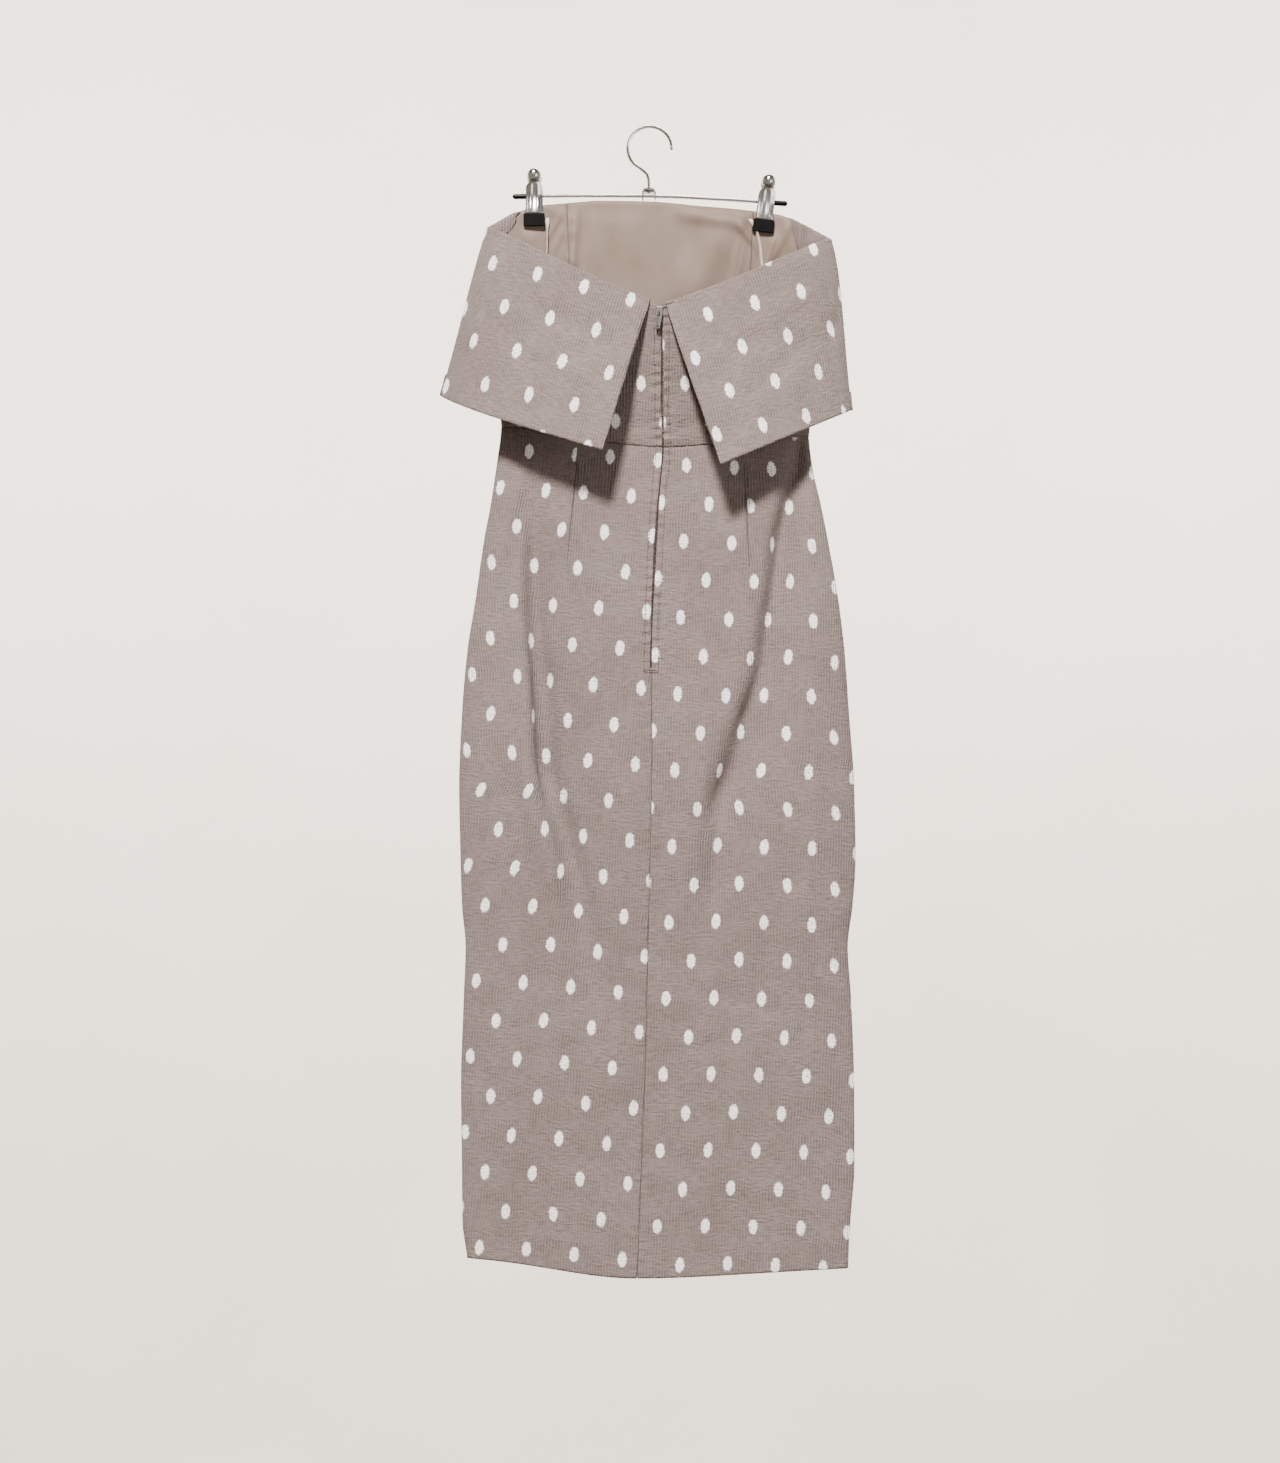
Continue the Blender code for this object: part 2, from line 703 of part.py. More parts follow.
def as_mesh(name, shape):
    """Turns a bmesh in millimetres into a mesh in metres, with its faces pointing out."""
    bmesh.ops.recalc_face_normals(shape, faces=shape.faces[:])
    bmesh.ops.scale(shape, vec=(MM, MM, MM), verts=shape.verts[:])
    mesh = bpy.data.meshes.new(name)
    shape.to_mesh(mesh)
    shape.free()
    return mesh


def add_cutter(name, mesh):
    item = bpy.data.objects.new(name, mesh)
    cutters.objects.link(item)
    item.hide_render = True
    item.display_type = "WIRE"
    return item


def cylinder(name, radius, length, segments=20):
    shape = bmesh.new()
    bmesh.ops.create_cone(shape, cap_ends=True, segments=segments, radius1=radius, radius2=radius,
                          depth=length)
    return as_mesh(name, shape)


def block(name, size, centre, bevel=0.0):
    shape = bmesh.new()
    bmesh.ops.create_cube(shape, size=1.0)
    bmesh.ops.scale(shape, vec=size, verts=shape.verts[:])
    bmesh.ops.translate(shape, vec=centre, verts=shape.verts[:])
    if bevel:
        bmesh.ops.bevel(shape, geom=shape.edges[:], offset=bevel, segments=2, profile=0.5,
                        affect="EDGES", material=-1)
    return as_mesh(name, shape)


def plate(name, outline, push):
    """A flat outline of points, pushed along a vector into a plate."""
    shape = bmesh.new()
    face = shape.faces.new([shape.verts.new(point) for point in outline])
    pushed = bmesh.ops.extrude_face_region(shape, geom=[face])
    moved = [v for v in pushed["geom"] if isinstance(v, bmesh.types.BMVert)]
    bmesh.ops.translate(shape, verts=moved, vec=push)
    return as_mesh(name, shape)


def cut(item, cutter):
    modifier = item.modifiers.new("hole", "BOOLEAN")
    modifier.operation = "DIFFERENCE"
    modifier.object = cutter


BAR = table("across level", (-150, -74.8), (-75, -74.0), (0, -74.3), (75, -77.6), (150, -82.6))


def bar_level(across):
    return through(BAR["across"], BAR["level"], across)


def bar_tilt(across):
    return math.atan2(bar_level(across + 2) - bar_level(across - 2), 4)


def build_hook():
    """Open hook: an arc from the tip over the top, then an S-bend into the upright neck."""
    centre = Vector((HOOK_ACROSS, 0.0, WIRE_RADIUS - HOOK_RADIUS))
    arc = []
    for degrees in range(HOOK_TIP_DEGREES, 232, 12):
        swing = math.radians(degrees)
        arc.append(centre + Vector((math.cos(swing), 0.0, math.sin(swing))) * HOOK_RADIUS)
    bend = [(-11.0, 0.0, -43.6), (-6.2, 0.0, -47.4), (-3.0, 0.0, -51.2), (-1.6, 0.0, -56.0)]
    neck = [(NECK_ACROSS, 0.0, -62.0), (NECK_ACROSS, 0.0, -71.6)]
    tube("hanger_hook", arc + bend + neck, WIRE_RADIUS, CHROME)
    shape = bmesh.new()
    bmesh.ops.create_uvsphere(shape, u_segments=10, v_segments=8, radius=TIP_RADIUS)
    bead = add_object("hook_tip", as_mesh("hook_tip", shape), CHROME)
    swing = math.radians(HOOK_TIP_DEGREES)
    along = Vector((math.sin(swing), 0, -math.cos(swing)))
    bead.location = (arc[0] + along * (TIP_RADIUS + GAP)) * MM


def build_bracket():
    """Sheet bracket, a channel open below, with the bar through its two legs."""
    half = BRACKET_WIDTH / 2
    inner = half - BRACKET_SHEET
    ceiling = BRACKET_TOP - BRACKET_SHEET
    outline = [(-half, BRACKET_FOOT), (-half, BRACKET_TOP), (half, BRACKET_TOP),
               (half, BRACKET_FOOT), (inner, BRACKET_FOOT), (inner, ceiling), (-inner, ceiling),
               (-inner, BRACKET_FOOT)]
    ring = [(NECK_ACROSS + x, -BRACKET_DEPTH / 2, z) for x, z in outline]
    mesh = plate("hanger_bracket", ring, (0, BRACKET_DEPTH, 0))
    bracket = add_object("hanger_bracket", mesh, CHROME)
    bar_bore = add_cutter("bar_bore", cylinder("bar_bore", BAR_RADIUS + 1.5 * GAP, BRACKET_WIDTH * 2))
    bar_bore.rotation_euler = (0, QUARTER, 0)
    bar_bore.location = (NECK_ACROSS * MM, 0, bar_level(NECK_ACROSS) * MM)
    cut(bracket, bar_bore)
    neck_bore = add_cutter("neck_bore", cylinder("neck_bore", WIRE_RADIUS + GAP, NUT_HEIGHT * 4))
    neck_bore.location = (NECK_ACROSS * MM, 0, BRACKET_TOP * MM)
    cut(bracket, neck_bore)
    nut = add_object("hanger_nut", cylinder("hanger_nut", NUT_RADIUS, NUT_HEIGHT, 24), CHROME)
    nut.location = (NECK_ACROSS * MM, 0, (BRACKET_TOP + GAP + NUT_HEIGHT / 2) * MM)
    cut(nut, neck_bore)


def build_bar():
    points = [(across, 0.0, bar_level(across)) for across in np.linspace(-BAR_HALF, BAR_HALF, 13)]
    tube("hanger_bar", points, BAR_RADIUS, CHROME)
    for name, side in (("left", -1), ("right", 1)):
        build_cap(f"bar_cap_{name}", side)


def build_cap(name, side):
    """Rubber sleeve with a round end, turned about the bar's axis."""
    bore = BAR_RADIUS + GAP
    floor = CAP_OVERLAP + 0.4
    profile = [(bore, 0.0), (bore, floor), (0.0, floor)]
    outer = [(0.0, CAP_LENGTH), (CAP_RADIUS * 0.6, CAP_LENGTH - 0.5), (CAP_RADIUS, CAP_LENGTH - 2.2),
             (CAP_RADIUS, 0.4), (CAP_RADIUS - 0.4, 0.0)]
    shape = bmesh.new()
    verts = [shape.verts.new((0.0, r, h)) for r, h in profile + outer]
    edges = [shape.edges.new((verts[k], verts[k + 1])) for k in (0, 1, 3, 4, 5, 6)]
    edges.append(shape.edges.new((verts[7], verts[0])))
    bmesh.ops.spin(shape, geom=verts + edges, cent=(0, 0, 0), axis=(0, 0, 1), dvec=(0, 0, 0),
                   angle=2 * math.pi, steps=12, use_merge=True)
    bmesh.ops.remove_doubles(shape, verts=shape.verts[:], dist=0.01)
    cap = add_object(name, as_mesh(name, shape), BLACK_RUBBER)
    mouth = side * (BAR_HALF - CAP_OVERLAP)
    tilt = bar_tilt(side * (BAR_HALF - CAP_OVERLAP / 2))
    direction = Vector((side * math.cos(tilt), 0, side * math.sin(tilt)))
    cap.rotation_euler = Vector((0, 0, 1)).rotation_difference(direction).to_euler()
    cap.location = (mouth * MM, 0, bar_level(mouth) * MM)


# Clips: place across on the bar, lean, and the jaw's sections from its round grip down
CLIPS = {"left": (-126.0, 0.0), "right": (126.5, 0.12)}
JAW = table(
    "height width inner outer",
    (28.6, 3.0, 9.0, 10.6),
    (27.4, 8.4, 7.4, 12.8),
    (24.6, 13.4, 6.4, 14.4),
    (20.8, 15.6, 6.0, 15.0),
    (17.0, 13.6, 5.8, 13.6),
    (14.0, 11.0, 5.4, 9.4),
    (11.0, 15.0, 4.6, 8.0),
    (8.0, 18.4, 4.0, 7.2),
    (0.0, 18.4, 3.6, 6.8),
    (-12.0, 18.4, 4.0, 7.4),
    (-20.0, 19.4, 5.2, 8.6),
)
JAW_CORNER = 0.32


def build_jaw(name, side, grip_face):
    """One pressed jaw. side is -1 towards the viewer. grip_face is where its pad meets the cloth."""
    shape = bmesh.new()
    sections = []
    for height, width, inner, outer in zip(JAW["height"], JAW["width"], JAW["inner"], JAW["outer"]):
        half = width / 2
        over_pad = smooth_step(-height / -JAW["height"].min())
        near = mix(inner, abs(grip_face) + JAW_OVER_PAD, over_pad)
        far = near + outer - inner
        bend = (far - near) * JAW_CORNER
        ring = [(-half, near), (half, near), (half, far - bend), (half * 0.72, far),
                (-half * 0.72, far), (-half, far - bend)]
        sections.append([shape.verts.new((x, side * y, height)) for x, y in ring])
    for upper, lower in zip(sections, sections[1:]):
        for k in range(6):
            m = (k + 1) % 6
            shape.faces.new((upper[k], upper[m], lower[m], lower[k]))
    shape.faces.new(sections[0])
    shape.faces.new(sections[-1])
    return add_object(name, as_mesh(name, shape), CHROME)


def build_pad(name, side, grip_face):
    middle = (0, side * (abs(grip_face) + PAD_THICKNESS / 2), PAD_MIDDLE)
    mesh = block(name, (PAD_WIDTH, PAD_THICKNESS, PAD_HEIGHT), middle, 0.7)
    return add_object(name, mesh, BLACK_RUBBER)


def grip_faces(across, lean):
    """How far the cloth under a clip's pads reaches, towards and away from the viewer."""
    middle_level = bar_level(across) + PAD_MIDDLE
    middle_across = across + math.sin(lean) * PAD_MIDDLE
    reach = PAD_WIDTH / 2 + 1.5
    rise = PAD_HEIGHT / 2 + 3.0
    near = min(front_point(middle_across + i * reach, middle_level + j * rise,
                           LINING_UNDER + LINING_CLOTH)[1] for i in (-1, 0, 1) for j in (-1, 0, 1))
    far = NECK_FRONT_DEPTH
    for turn in np.linspace(1.2, 2.8, 120):
        for path in np.linspace(0.6, 1.5, 60):
            point = cuff(turn, path)
            beside = abs(point[0] - middle_across) < reach
            if beside and abs(point[2] - middle_level) < rise:
                far = max(far, point[1])
    return near - GAP, far + GAP


def build_clips():
    for name, (across, lean) in CLIPS.items():
        near, far = grip_faces(across, lean)
        hub = bpy.data.objects.new(f"clip_{name}_place", None)
        collection.objects.link(hub)
        hub.location = (across * MM, 0, bar_level(across) * MM)
        hub.rotation_euler = (0, lean, 0)
        for part, side, face in (("back", -1, near), ("front", 1, far)):
            build_jaw(f"clip_{name}_jaw_{part}", side, face).parent = hub
            build_pad(f"clip_{name}_pad_{part}", side, face).parent = hub
        build_spring(name, across)


def build_spring(name, across):
    """Close-wound spring on the bar, between the jaws."""
    node = f"clip_{name}_spring"
    spring = add_object(node, cylinder(node, SPRING_RADIUS, SPRING_LENGTH, 16), CHROME)
    bore_name = f"{node}_bore"
    bore = add_cutter(bore_name, cylinder(bore_name, BAR_RADIUS + GAP, SPRING_LENGTH * 2, 16))
    for item in (spring, bore):
        item.rotation_euler = (0, QUARTER - bar_tilt(across), 0)
        item.location = (across * MM, 0, bar_level(across) * MM)
    cut(spring, bore)


# Zip slider and pull tab

def slider_place():
    """Centre of the slider's face on the cloth, a little left of the seam."""
    level = ZIP_TOP - SLIDER_BELOW_EDGE - SLIDER_HEIGHT / 2
    across = through(CENTRE_BACK["level"], CENTRE_BACK["across"], level) + SLIDER_ASIDE
    cloth = back_point(-1.0, level, 0.0)
    return np.array((across, cloth[1] - 2 * GAP, level))


def build_slider():
    """Slider body, and the low arch on it that the tab hangs from."""
    body = block("zip_slider", (SLIDER_WIDTH, SLIDER_THICKNESS, SLIDER_HEIGHT),
                 (0, -SLIDER_THICKNESS / 2, 0), 0.5)
    slider = add_object("zip_slider", body, ZIP_METAL)
    thick = BRIDGE_THICKNESS
    corner = 0.3
    leg = BRIDGE_HEIGHT / 2
    root = SLIDER_THICKNESS - 0.4
    out = SLIDER_THICKNESS + BRIDGE_REACH
    half_arch = [(leg - thick, root), (leg, root), (leg, out - thick), (leg - thick, out)]
    under_arch = [(leg - thick - corner, out - thick), (leg - thick, out - thick - corner)]
    outline = half_arch + [(-z, y) for z, y in reversed(half_arch)]
    outline += [(-z, y) for z, y in reversed(under_arch)] + under_arch
    ring = [(-BRIDGE_WIDTH / 2, -y, z) for z, y in outline]
    arch = add_cutter("slider_bridge", plate("slider_bridge", ring, (BRIDGE_WIDTH, 0, 0)))
    for item in (slider, arch):
        item.location = slider_place() * MM
    join = slider.modifiers.new("bridge", "BOOLEAN")
    join.operation = "UNION"
    join.object = arch


def build_tab():
    """Flat pull tab with a slot round the bridge and an eye near its foot."""
    reach = SLIDER_THICKNESS + (BRIDGE_REACH - BRIDGE_THICKNESS) / 2
    foot = TAB_HEAD - TAB_LENGTH
    shoulder = -0.35 * TAB_LENGTH
    half_top = TAB_TOP_WIDTH / 2
    half_foot = TAB_FOOT_WIDTH / 2
    right = [(half_top - 0.7, TAB_HEAD), (half_top, TAB_HEAD - 0.9), (half_top, shoulder),
             (half_foot, foot + 0.9), (half_foot - 0.9, foot)]
    outline = right + [(-x, z) for x, z in reversed(right)]
    ring = [(x, -TAB_THICKNESS / 2, z) for x, z in outline]
    mesh = plate("zip_pull_tab", ring, (0, TAB_THICKNESS, 0))
    tab = add_object("zip_pull_tab", mesh, ZIP_METAL)
    slot_size = (TAB_SLOT_WIDTH, 4 * TAB_THICKNESS, TAB_SLOT_LENGTH)
    slot_mesh = block("tab_slot", slot_size, (0, 0, -TAB_HEAD - TAB_SLOT_LENGTH / 2))
    slot = add_cutter("tab_slot", slot_mesh)
    eye = add_cutter("tab_eye", cylinder("tab_eye", TAB_EYE_RADIUS, 4 * TAB_THICKNESS, 14))
    eye.rotation_euler = (QUARTER, 0, 0)
    eye.location = (0, 0, (foot + TAB_EYE_ABOVE_FOOT) * MM)
    pivot = bpy.data.objects.new("tab_pivot", None)
    collection.objects.link(pivot)
    pivot.location = (slider_place() - np.array((0, reach, 0))) * MM
    pivot.rotation_euler = (0, TAB_LEAN, 0)
    for item in (tab, slot, eye):
        item.parent = pivot
    for hole in (slot, eye):
        cut(tab, hole)


build_skirt()
build_bodice()
build_lining()
build_cuff()
build_zip_tape()
build_ribbons()
build_hook()
build_bracket()
build_bar()
build_clips()
build_slider()
build_tab()
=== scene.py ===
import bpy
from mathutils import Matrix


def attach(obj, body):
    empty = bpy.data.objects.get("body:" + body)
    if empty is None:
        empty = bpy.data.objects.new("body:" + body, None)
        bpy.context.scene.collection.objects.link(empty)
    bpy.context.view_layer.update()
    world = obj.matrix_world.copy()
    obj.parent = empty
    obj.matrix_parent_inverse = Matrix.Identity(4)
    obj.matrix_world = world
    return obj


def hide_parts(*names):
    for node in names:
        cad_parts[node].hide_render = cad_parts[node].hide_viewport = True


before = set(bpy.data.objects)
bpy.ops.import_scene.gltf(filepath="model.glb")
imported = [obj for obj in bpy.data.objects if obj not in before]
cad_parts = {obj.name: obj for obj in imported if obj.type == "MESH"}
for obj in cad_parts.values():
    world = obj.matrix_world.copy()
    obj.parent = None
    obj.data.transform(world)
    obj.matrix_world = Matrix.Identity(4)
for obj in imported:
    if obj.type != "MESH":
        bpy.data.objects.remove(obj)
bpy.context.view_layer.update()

# The looks of a strapless midi dress that hangs, back to the viewer, from a clip hanger.
# Lengths are millimetres in the frame's own axes, and become metres where a mesh is made. Left and
# right are the viewer's. The cloth's sections and folds repeat those of the solids.

import math

import bmesh
import bpy
import numpy as np
from mathutils import Vector
from mathutils.kdtree import KDTree

MM = 0.001
QUARTER = math.pi / 2

# The camera stands level, square to the dress
CAMERA = (-10.9, -2500.0, -657.8)
VIEW_HEIGHT = 1594.7
SENSOR = 36.0

# Thickness of the shells' cloth and of the solids' walls, the gap at a seam, and how far off an
# edge the creases fade
WEAVE_CLOTH = 1.5
LINING_CLOTH = 1.0
SOLID_CLOTH = 1.8
GAP = 0.3
EDGE_CALM = 12.0

# The cuff: its drop at the front, where its halves start across, its slack over the neckline, and
# how it leaves the roll and reaches its edge
CUFF_DROP_FRONT = 180.0
CUFF_BACK_LEFT_START = -0.5
CUFF_BACK_RIGHT_START = 17.0
CUFF_SLACK = 0.7
CUFF_TOP_PULL = 0.55
CUFF_TOP_FLARE = 0.3
CUFF_END_PULL = 1.0

# The zip. Each edge stands back from the teeth by about ZIP_LIP, and the cloth gives way up to
# ZIP_LIP_REACH off
ZIP_TOP = -200.0
ZIP_BOTTOM = -592.0
ZIP_LIP = 1.0
ZIP_LIP_UNEVEN = 0.45
ZIP_LIP_REACH = 6.0


def table(columns, *rows):
    """Named columns of a short table, one row for each section or crease."""
    return dict(zip(columns.split(), np.array(rows, float).T))


def through(keys, values, at):
    """Smooth curve through table values that never overshoots them."""
    order = np.argsort(keys)
    x = np.asarray(keys, float)[order]
    y = np.asarray(values, float)[order]
    at = np.clip(at, x[0], x[-1])
    step = np.diff(x)
    rise = np.diff(y) / step
    same_way = rise[:-1] * rise[1:] > 0
    total = np.where(same_way, rise[:-1] + rise[1:], 1.0)
    middle = np.where(same_way, 2 * rise[:-1] * rise[1:] / total, 0.0)
    slope = np.concatenate((rise[:1], middle, rise[-1:]))
    k = np.clip(np.searchsorted(x, at, side="right") - 1, 0, len(step) - 1)
    s = (at - x[k]) / step[k]
    start = (1 + 2 * s) * (1 - s) ** 2 * y[k] + s * (1 - s) ** 2 * step[k] * slope[k]
    end = s * s * (3 - 2 * s) * y[k + 1] + s * s * (s - 1) * step[k] * slope[k + 1]
    return start + end


def read(rows, column, at, key="level"):
    """One column of a table, at any place along its key column."""
    return through(rows[key], rows[column], at)


def smooth_step(s):
    """0 to 1 with soft ends."""
    s = np.clip(s, 0.0, 1.0)
    return s * s * (3 - 2 * s)


def mix(a, b, s):
    return a + (b - a) * s


def unit(vectors):
    return vectors / np.linalg.norm(vectors, axis=-1, keepdims=True)


def point(across, depth, level):
    """Places from their three coordinates."""
    return np.stack(np.broadcast_arrays(across, depth, level), axis=-1)


# The centre back seam's place, across
CENTRE_BACK = table(
    "level across",
    (-198, 12.4), (-300, 12.5), (-349, 14.0), (-400, 9.7), (-470, 5.0), (-588, 1.0), (-667, 2.0),
    (-883, -2.3), (-1008, -5.0), (-1108, -8.7), (-1250, -14.2),
)

# The skirt's sections: the outline at each side and how far the back and front stand out
SKIRT = table(
    "level left right back front",
    (-326, -162, 172, -16, 10),
    (-338, -163, 173, -17, 10),
    (-370, -167.5, 177, -20, 13),
    (-410, -173.5, 186, -23, 15),
    (-450, -181, 194, -25, 17),
    (-513, -190, 205, -27, 19),
    (-570, -199, 212, -28, 20),
    (-640, -205, 217, -28, 21),
    (-718, -208, 222.5, -27, 21),
    (-797, -206.5, 224, -24, 21),
    (-845, -205, 221, -22, 21),
    (-893, -201, 215.5, -21, 20),
    (-947, -203, 219, -20, 20),
    (-1045, -206, 222.5, -18, 19),
    (-1130, -205, 222.8, -17, 18),
    (-1190, -204.5, 218.5, -16, 18),
    (-1225, -200, 216.5, -15, 17),
    (-1252, -196, 216, -15, 17),
)
SKIRT_SIDE_DEPTH = -1.0
SKIRT_POWER = 2.4

# The two long folds of the back: where the trough runs, how deep it is, how wide its steep
# left wall and its soft right wall are
FOLD_RIGHT = table(
    "level across depth steep soft",
    (-338, 166, 2, 7, 10),
    (-370, 157.5, 9, 8, 13),
    (-414, 148, 15, 8, 15),
    (-451, 141, 18, 9, 17),
    (-490, 136, 19, 9, 20),
    (-542, 129, 19, 10, 24),
    (-600, 119, 17, 12, 28),
    (-648, 104, 15, 14, 32),
    (-718, 84, 12, 18, 36),
    (-790, 72.5, 8, 22, 40),
    (-850, 65, 4, 26, 44),
    (-950, 55, 0, 30, 48),
)
FOLD_LEFT = table(
    "level across depth steep soft",
    (-345, -134, 0, 12, 24),
    (-428, -126, 8, 11, 28),
    (-482, -124, 12, 11, 30),
    (-566, -122, 14, 11, 34),
    (-610, -114, 15, 12, 36),
    (-690, -110, 14, 14, 40),
    (-735, -97, 12, 16, 40),
    (-781, -84, 9, 18, 42),
    (-857, -77, 6, 22, 44),
    (-927, -62, 3, 26, 46),
    (-1000, -50, 0, 30, 50),
)
# The front hangs in two shallower folds of the same kind
FRONT_FOLD_LEFT = table(
    "level across depth steep soft",
    (-360, -120, 0, 16, 30),
    (-470, -112, 7, 16, 34),
    (-620, -98, 9, 18, 38),
    (-800, -70, 6, 24, 44),
    (-960, -48, 0, 30, 50),
)
FRONT_FOLD_RIGHT = table(
    "level across depth steep soft",
    (-350, 128, 0, 24, 16),
    (-440, 122, 6, 28, 16),
    (-560, 112, 9, 34, 18),
    (-740, 86, 7, 40, 24),
    (-1010, 58, 0, 46, 30),
)
# Each fold: whether it is in the back, and whether its left wall is the steep one
FOLDS = (
    (FOLD_RIGHT, True, True),
    (FOLD_LEFT, True, True),
    (FRONT_FOLD_LEFT, False, True),
    (FRONT_FOLD_RIGHT, False, False),
)

# Heights of the waist seam and the hem at the seams
WAIST = dict(back=-350.0, left=-326.5, right=-338.0, front=-334.0)
HEM = dict(back=-1250.5, left=-1231.0, right=-1242.0, front=-1240.0)

# The neckline: the back droops to a point at the zip, the clips hold the front's top edge level
NECK_LEFT = -175.5
NECK_RIGHT = 195.0
NECK_LEFT_HEIGHT = -110.0
NECK_RIGHT_HEIGHT = -122.5
NECK_BACK_HEIGHT = -197.0
NECK_BACK_DEPTH = -36.0
NECK_SIDE_DEPTH = -12.0
NECK_FRONT_DEPTH = 1.0
NECK_BACK_POWER = 2.2
NECK_FRONT_POWER = 2.7
NECK_DROOP_POWER = 1.15
NECK_FRONT = table(
    "across level",
    (-175.5, -110.0), (-140.6, -90.7), (-116.6, -83.9), (-93.7, -81.7), (-52.3, -78.6),
    (0, -79.4), (53.4, -84.4), (98, -88.3), (137.3, -93.7), (150.4, -98.3), (195, -122.5),
)

# The cuff's free edge, at the centre back corners and at the sides
CUFF_CORNER_LEFT = (-50.4, -80.0, -360.2)
CUFF_CORNER_RIGHT = (73.9, -80.0, -375.6)
CUFF_SIDE_LEFT = (-226.4, -19.0, -294.5)
CUFF_SIDE_RIGHT = (218.3, -17.0, -309.9)
CUFF_FRONT_DEPTH = 19.0
CUFF_EDGE_BACK_POWER = 1.35
CUFF_EDGE_FRONT_POWER = 2.8

# How far the cuff's cloth turns inside past the roll, round the neckline from the centre back
# over the left side, the front and the right side. Negative stops part way over the roll.
CUFF_LIP = table(
    "turn length",
    (0.0, 0.5), (0.7, 0.5), (0.86, -6.6), (1.07, -6.6), (1.14, 5), (1.25, 12), (1.34, 6),
    (1.4, -6.6), (2.53, -6.6), (2.6, 9), (2.7, 23), (2.8, 21), (2.87, 2), (2.93, -6.6),
    (3.14, -6.6), (3.3, 0.5), (4.0, 0.5),
)



def superellipse(fraction, power):
    return np.maximum(1.0 - np.abs(fraction) ** power, 0.0) ** (1.0 / power)


def around(angle, closed=True):
    """Splits the angle round a section, from the centre back over the left side."""
    angle = np.asarray(angle, float)
    if closed:
        outside = (angle < 0) | (angle > 4 * QUARTER)
        angle = np.where(outside, angle - np.copysign(4 * QUARTER, angle), angle)
    left = angle <= 2 * QUARTER
    back = (angle <= QUARTER) | (angle >= 3 * QUARTER)
    return np.where(left, np.sin(angle), -np.sin(angle)), left, back


def ring_height(angle, heights):
    """The height of a seam round the body, from its heights at the sides and the middles."""
    fraction, left, back = around(angle)
    side = np.where(left, heights["left"], heights["right"])
    middle = np.where(back, heights["back"], heights["front"])
    return mix(side, middle, smooth_step(1 - fraction))


def trough(fold, across, level, steep_left):
    """How far a fold pushes the cloth in."""
    depth = read(fold, "depth", level)
    outside = (level > fold["level"].max()) | (level < fold["level"].min())
    steep = read(fold, "steep", level)
    soft = read(fold, "soft", level)
    away = across - read(fold, "across", level)
    width = np.where((away < 0) == steep_left, steep, soft)
    return np.where(outside, 0.0, depth) * np.exp(-((away / width) ** 2))


def skirt_ring(angle, level):
    """The skirt's section at a level, with its folds."""
    fraction, left, back = around(angle)
    at = {name: read(SKIRT, name, level)
          for name in ("left", "right", "back", "front")}
    centre = read(CENTRE_BACK, "across", level)
    across = mix(centre, np.where(left, at["left"], at["right"]), fraction)
    reach = np.where(back, at["back"], at["front"]) - SKIRT_SIDE_DEPTH
    depth = reach * superellipse(fraction, SKIRT_POWER)
    clear_of_side = smooth_step((1 - fraction) / 0.1)
    for fold, on_back, steep_left in FOLDS:
        pushed = clear_of_side * trough(fold, across, level, steep_left)
        depth = depth + np.where(back == on_back, pushed if on_back else -pushed, 0.0)
    return across, SKIRT_SIDE_DEPTH + depth


def skirt(angle, down):
    """The skirt's outer face. down runs from 0 at the waist seam to 1 at the hem."""
    level = mix(ring_height(angle, WAIST), ring_height(angle, HEM), down)
    across, depth = skirt_ring(angle, level)
    return point(across, depth, level)


# The cuff's roll over the neckline, measured outwards from the bodice's outer face
ROLL_OUTER = CUFF_SLACK + SOLID_CLOTH
ROLL_INNER = -(SOLID_CLOTH + GAP + LINING_CLOTH + CUFF_SLACK + SOLID_CLOTH)
ROLL_RADIUS = (ROLL_OUTER - ROLL_INNER) / 2
ROLL_CENTRE = (ROLL_OUTER + ROLL_INNER) / 2
ROLL_ARC = math.pi * ROLL_RADIUS


def neckline(angle):
    """Top edge of the bodice's outer face. The cuff's roll rises over it to the heights given."""
    fraction, left, back = around(angle)
    across = mix(CENTRE_BACK["across"][0], np.where(left, NECK_LEFT, NECK_RIGHT), fraction)
    side = np.where(left, NECK_LEFT_HEIGHT, NECK_RIGHT_HEIGHT)
    back_level = mix(NECK_BACK_HEIGHT, side, np.abs(fraction) ** NECK_DROOP_POWER)
    front_level = read(NECK_FRONT, "level", across, "across")
    back_depth = mix(NECK_SIDE_DEPTH, NECK_BACK_DEPTH, superellipse(fraction, NECK_BACK_POWER))
    front_depth = mix(NECK_SIDE_DEPTH, NECK_FRONT_DEPTH, superellipse(fraction, NECK_FRONT_POWER))
    level = np.where(back, back_level, front_level)
    return point(across, np.where(back, back_depth, front_depth), level - ROLL_RADIUS)


def bodice(angle, down):
    """The bodice's outer face. down runs from 0 at the neckline to 1 at the waist seam."""
    level = ring_height(angle, WAIST)
    across, depth = skirt_ring(angle, level)
    return mix(neckline(angle), point(across, depth, level), np.asarray(down)[..., None])


def lining(angle, down):
    """Follows the bodice, and rises beside the roll where the cuff has no lip."""
    turn = angle / QUARTER
    bare = smooth_step((turn - 1.35) / 0.06) * smooth_step((2.6 - turn) / 0.06)
    top = mix(LINING_TUCK, -LINING_RISE, bare)
    return bodice(angle, mix(top, 1.0, down))


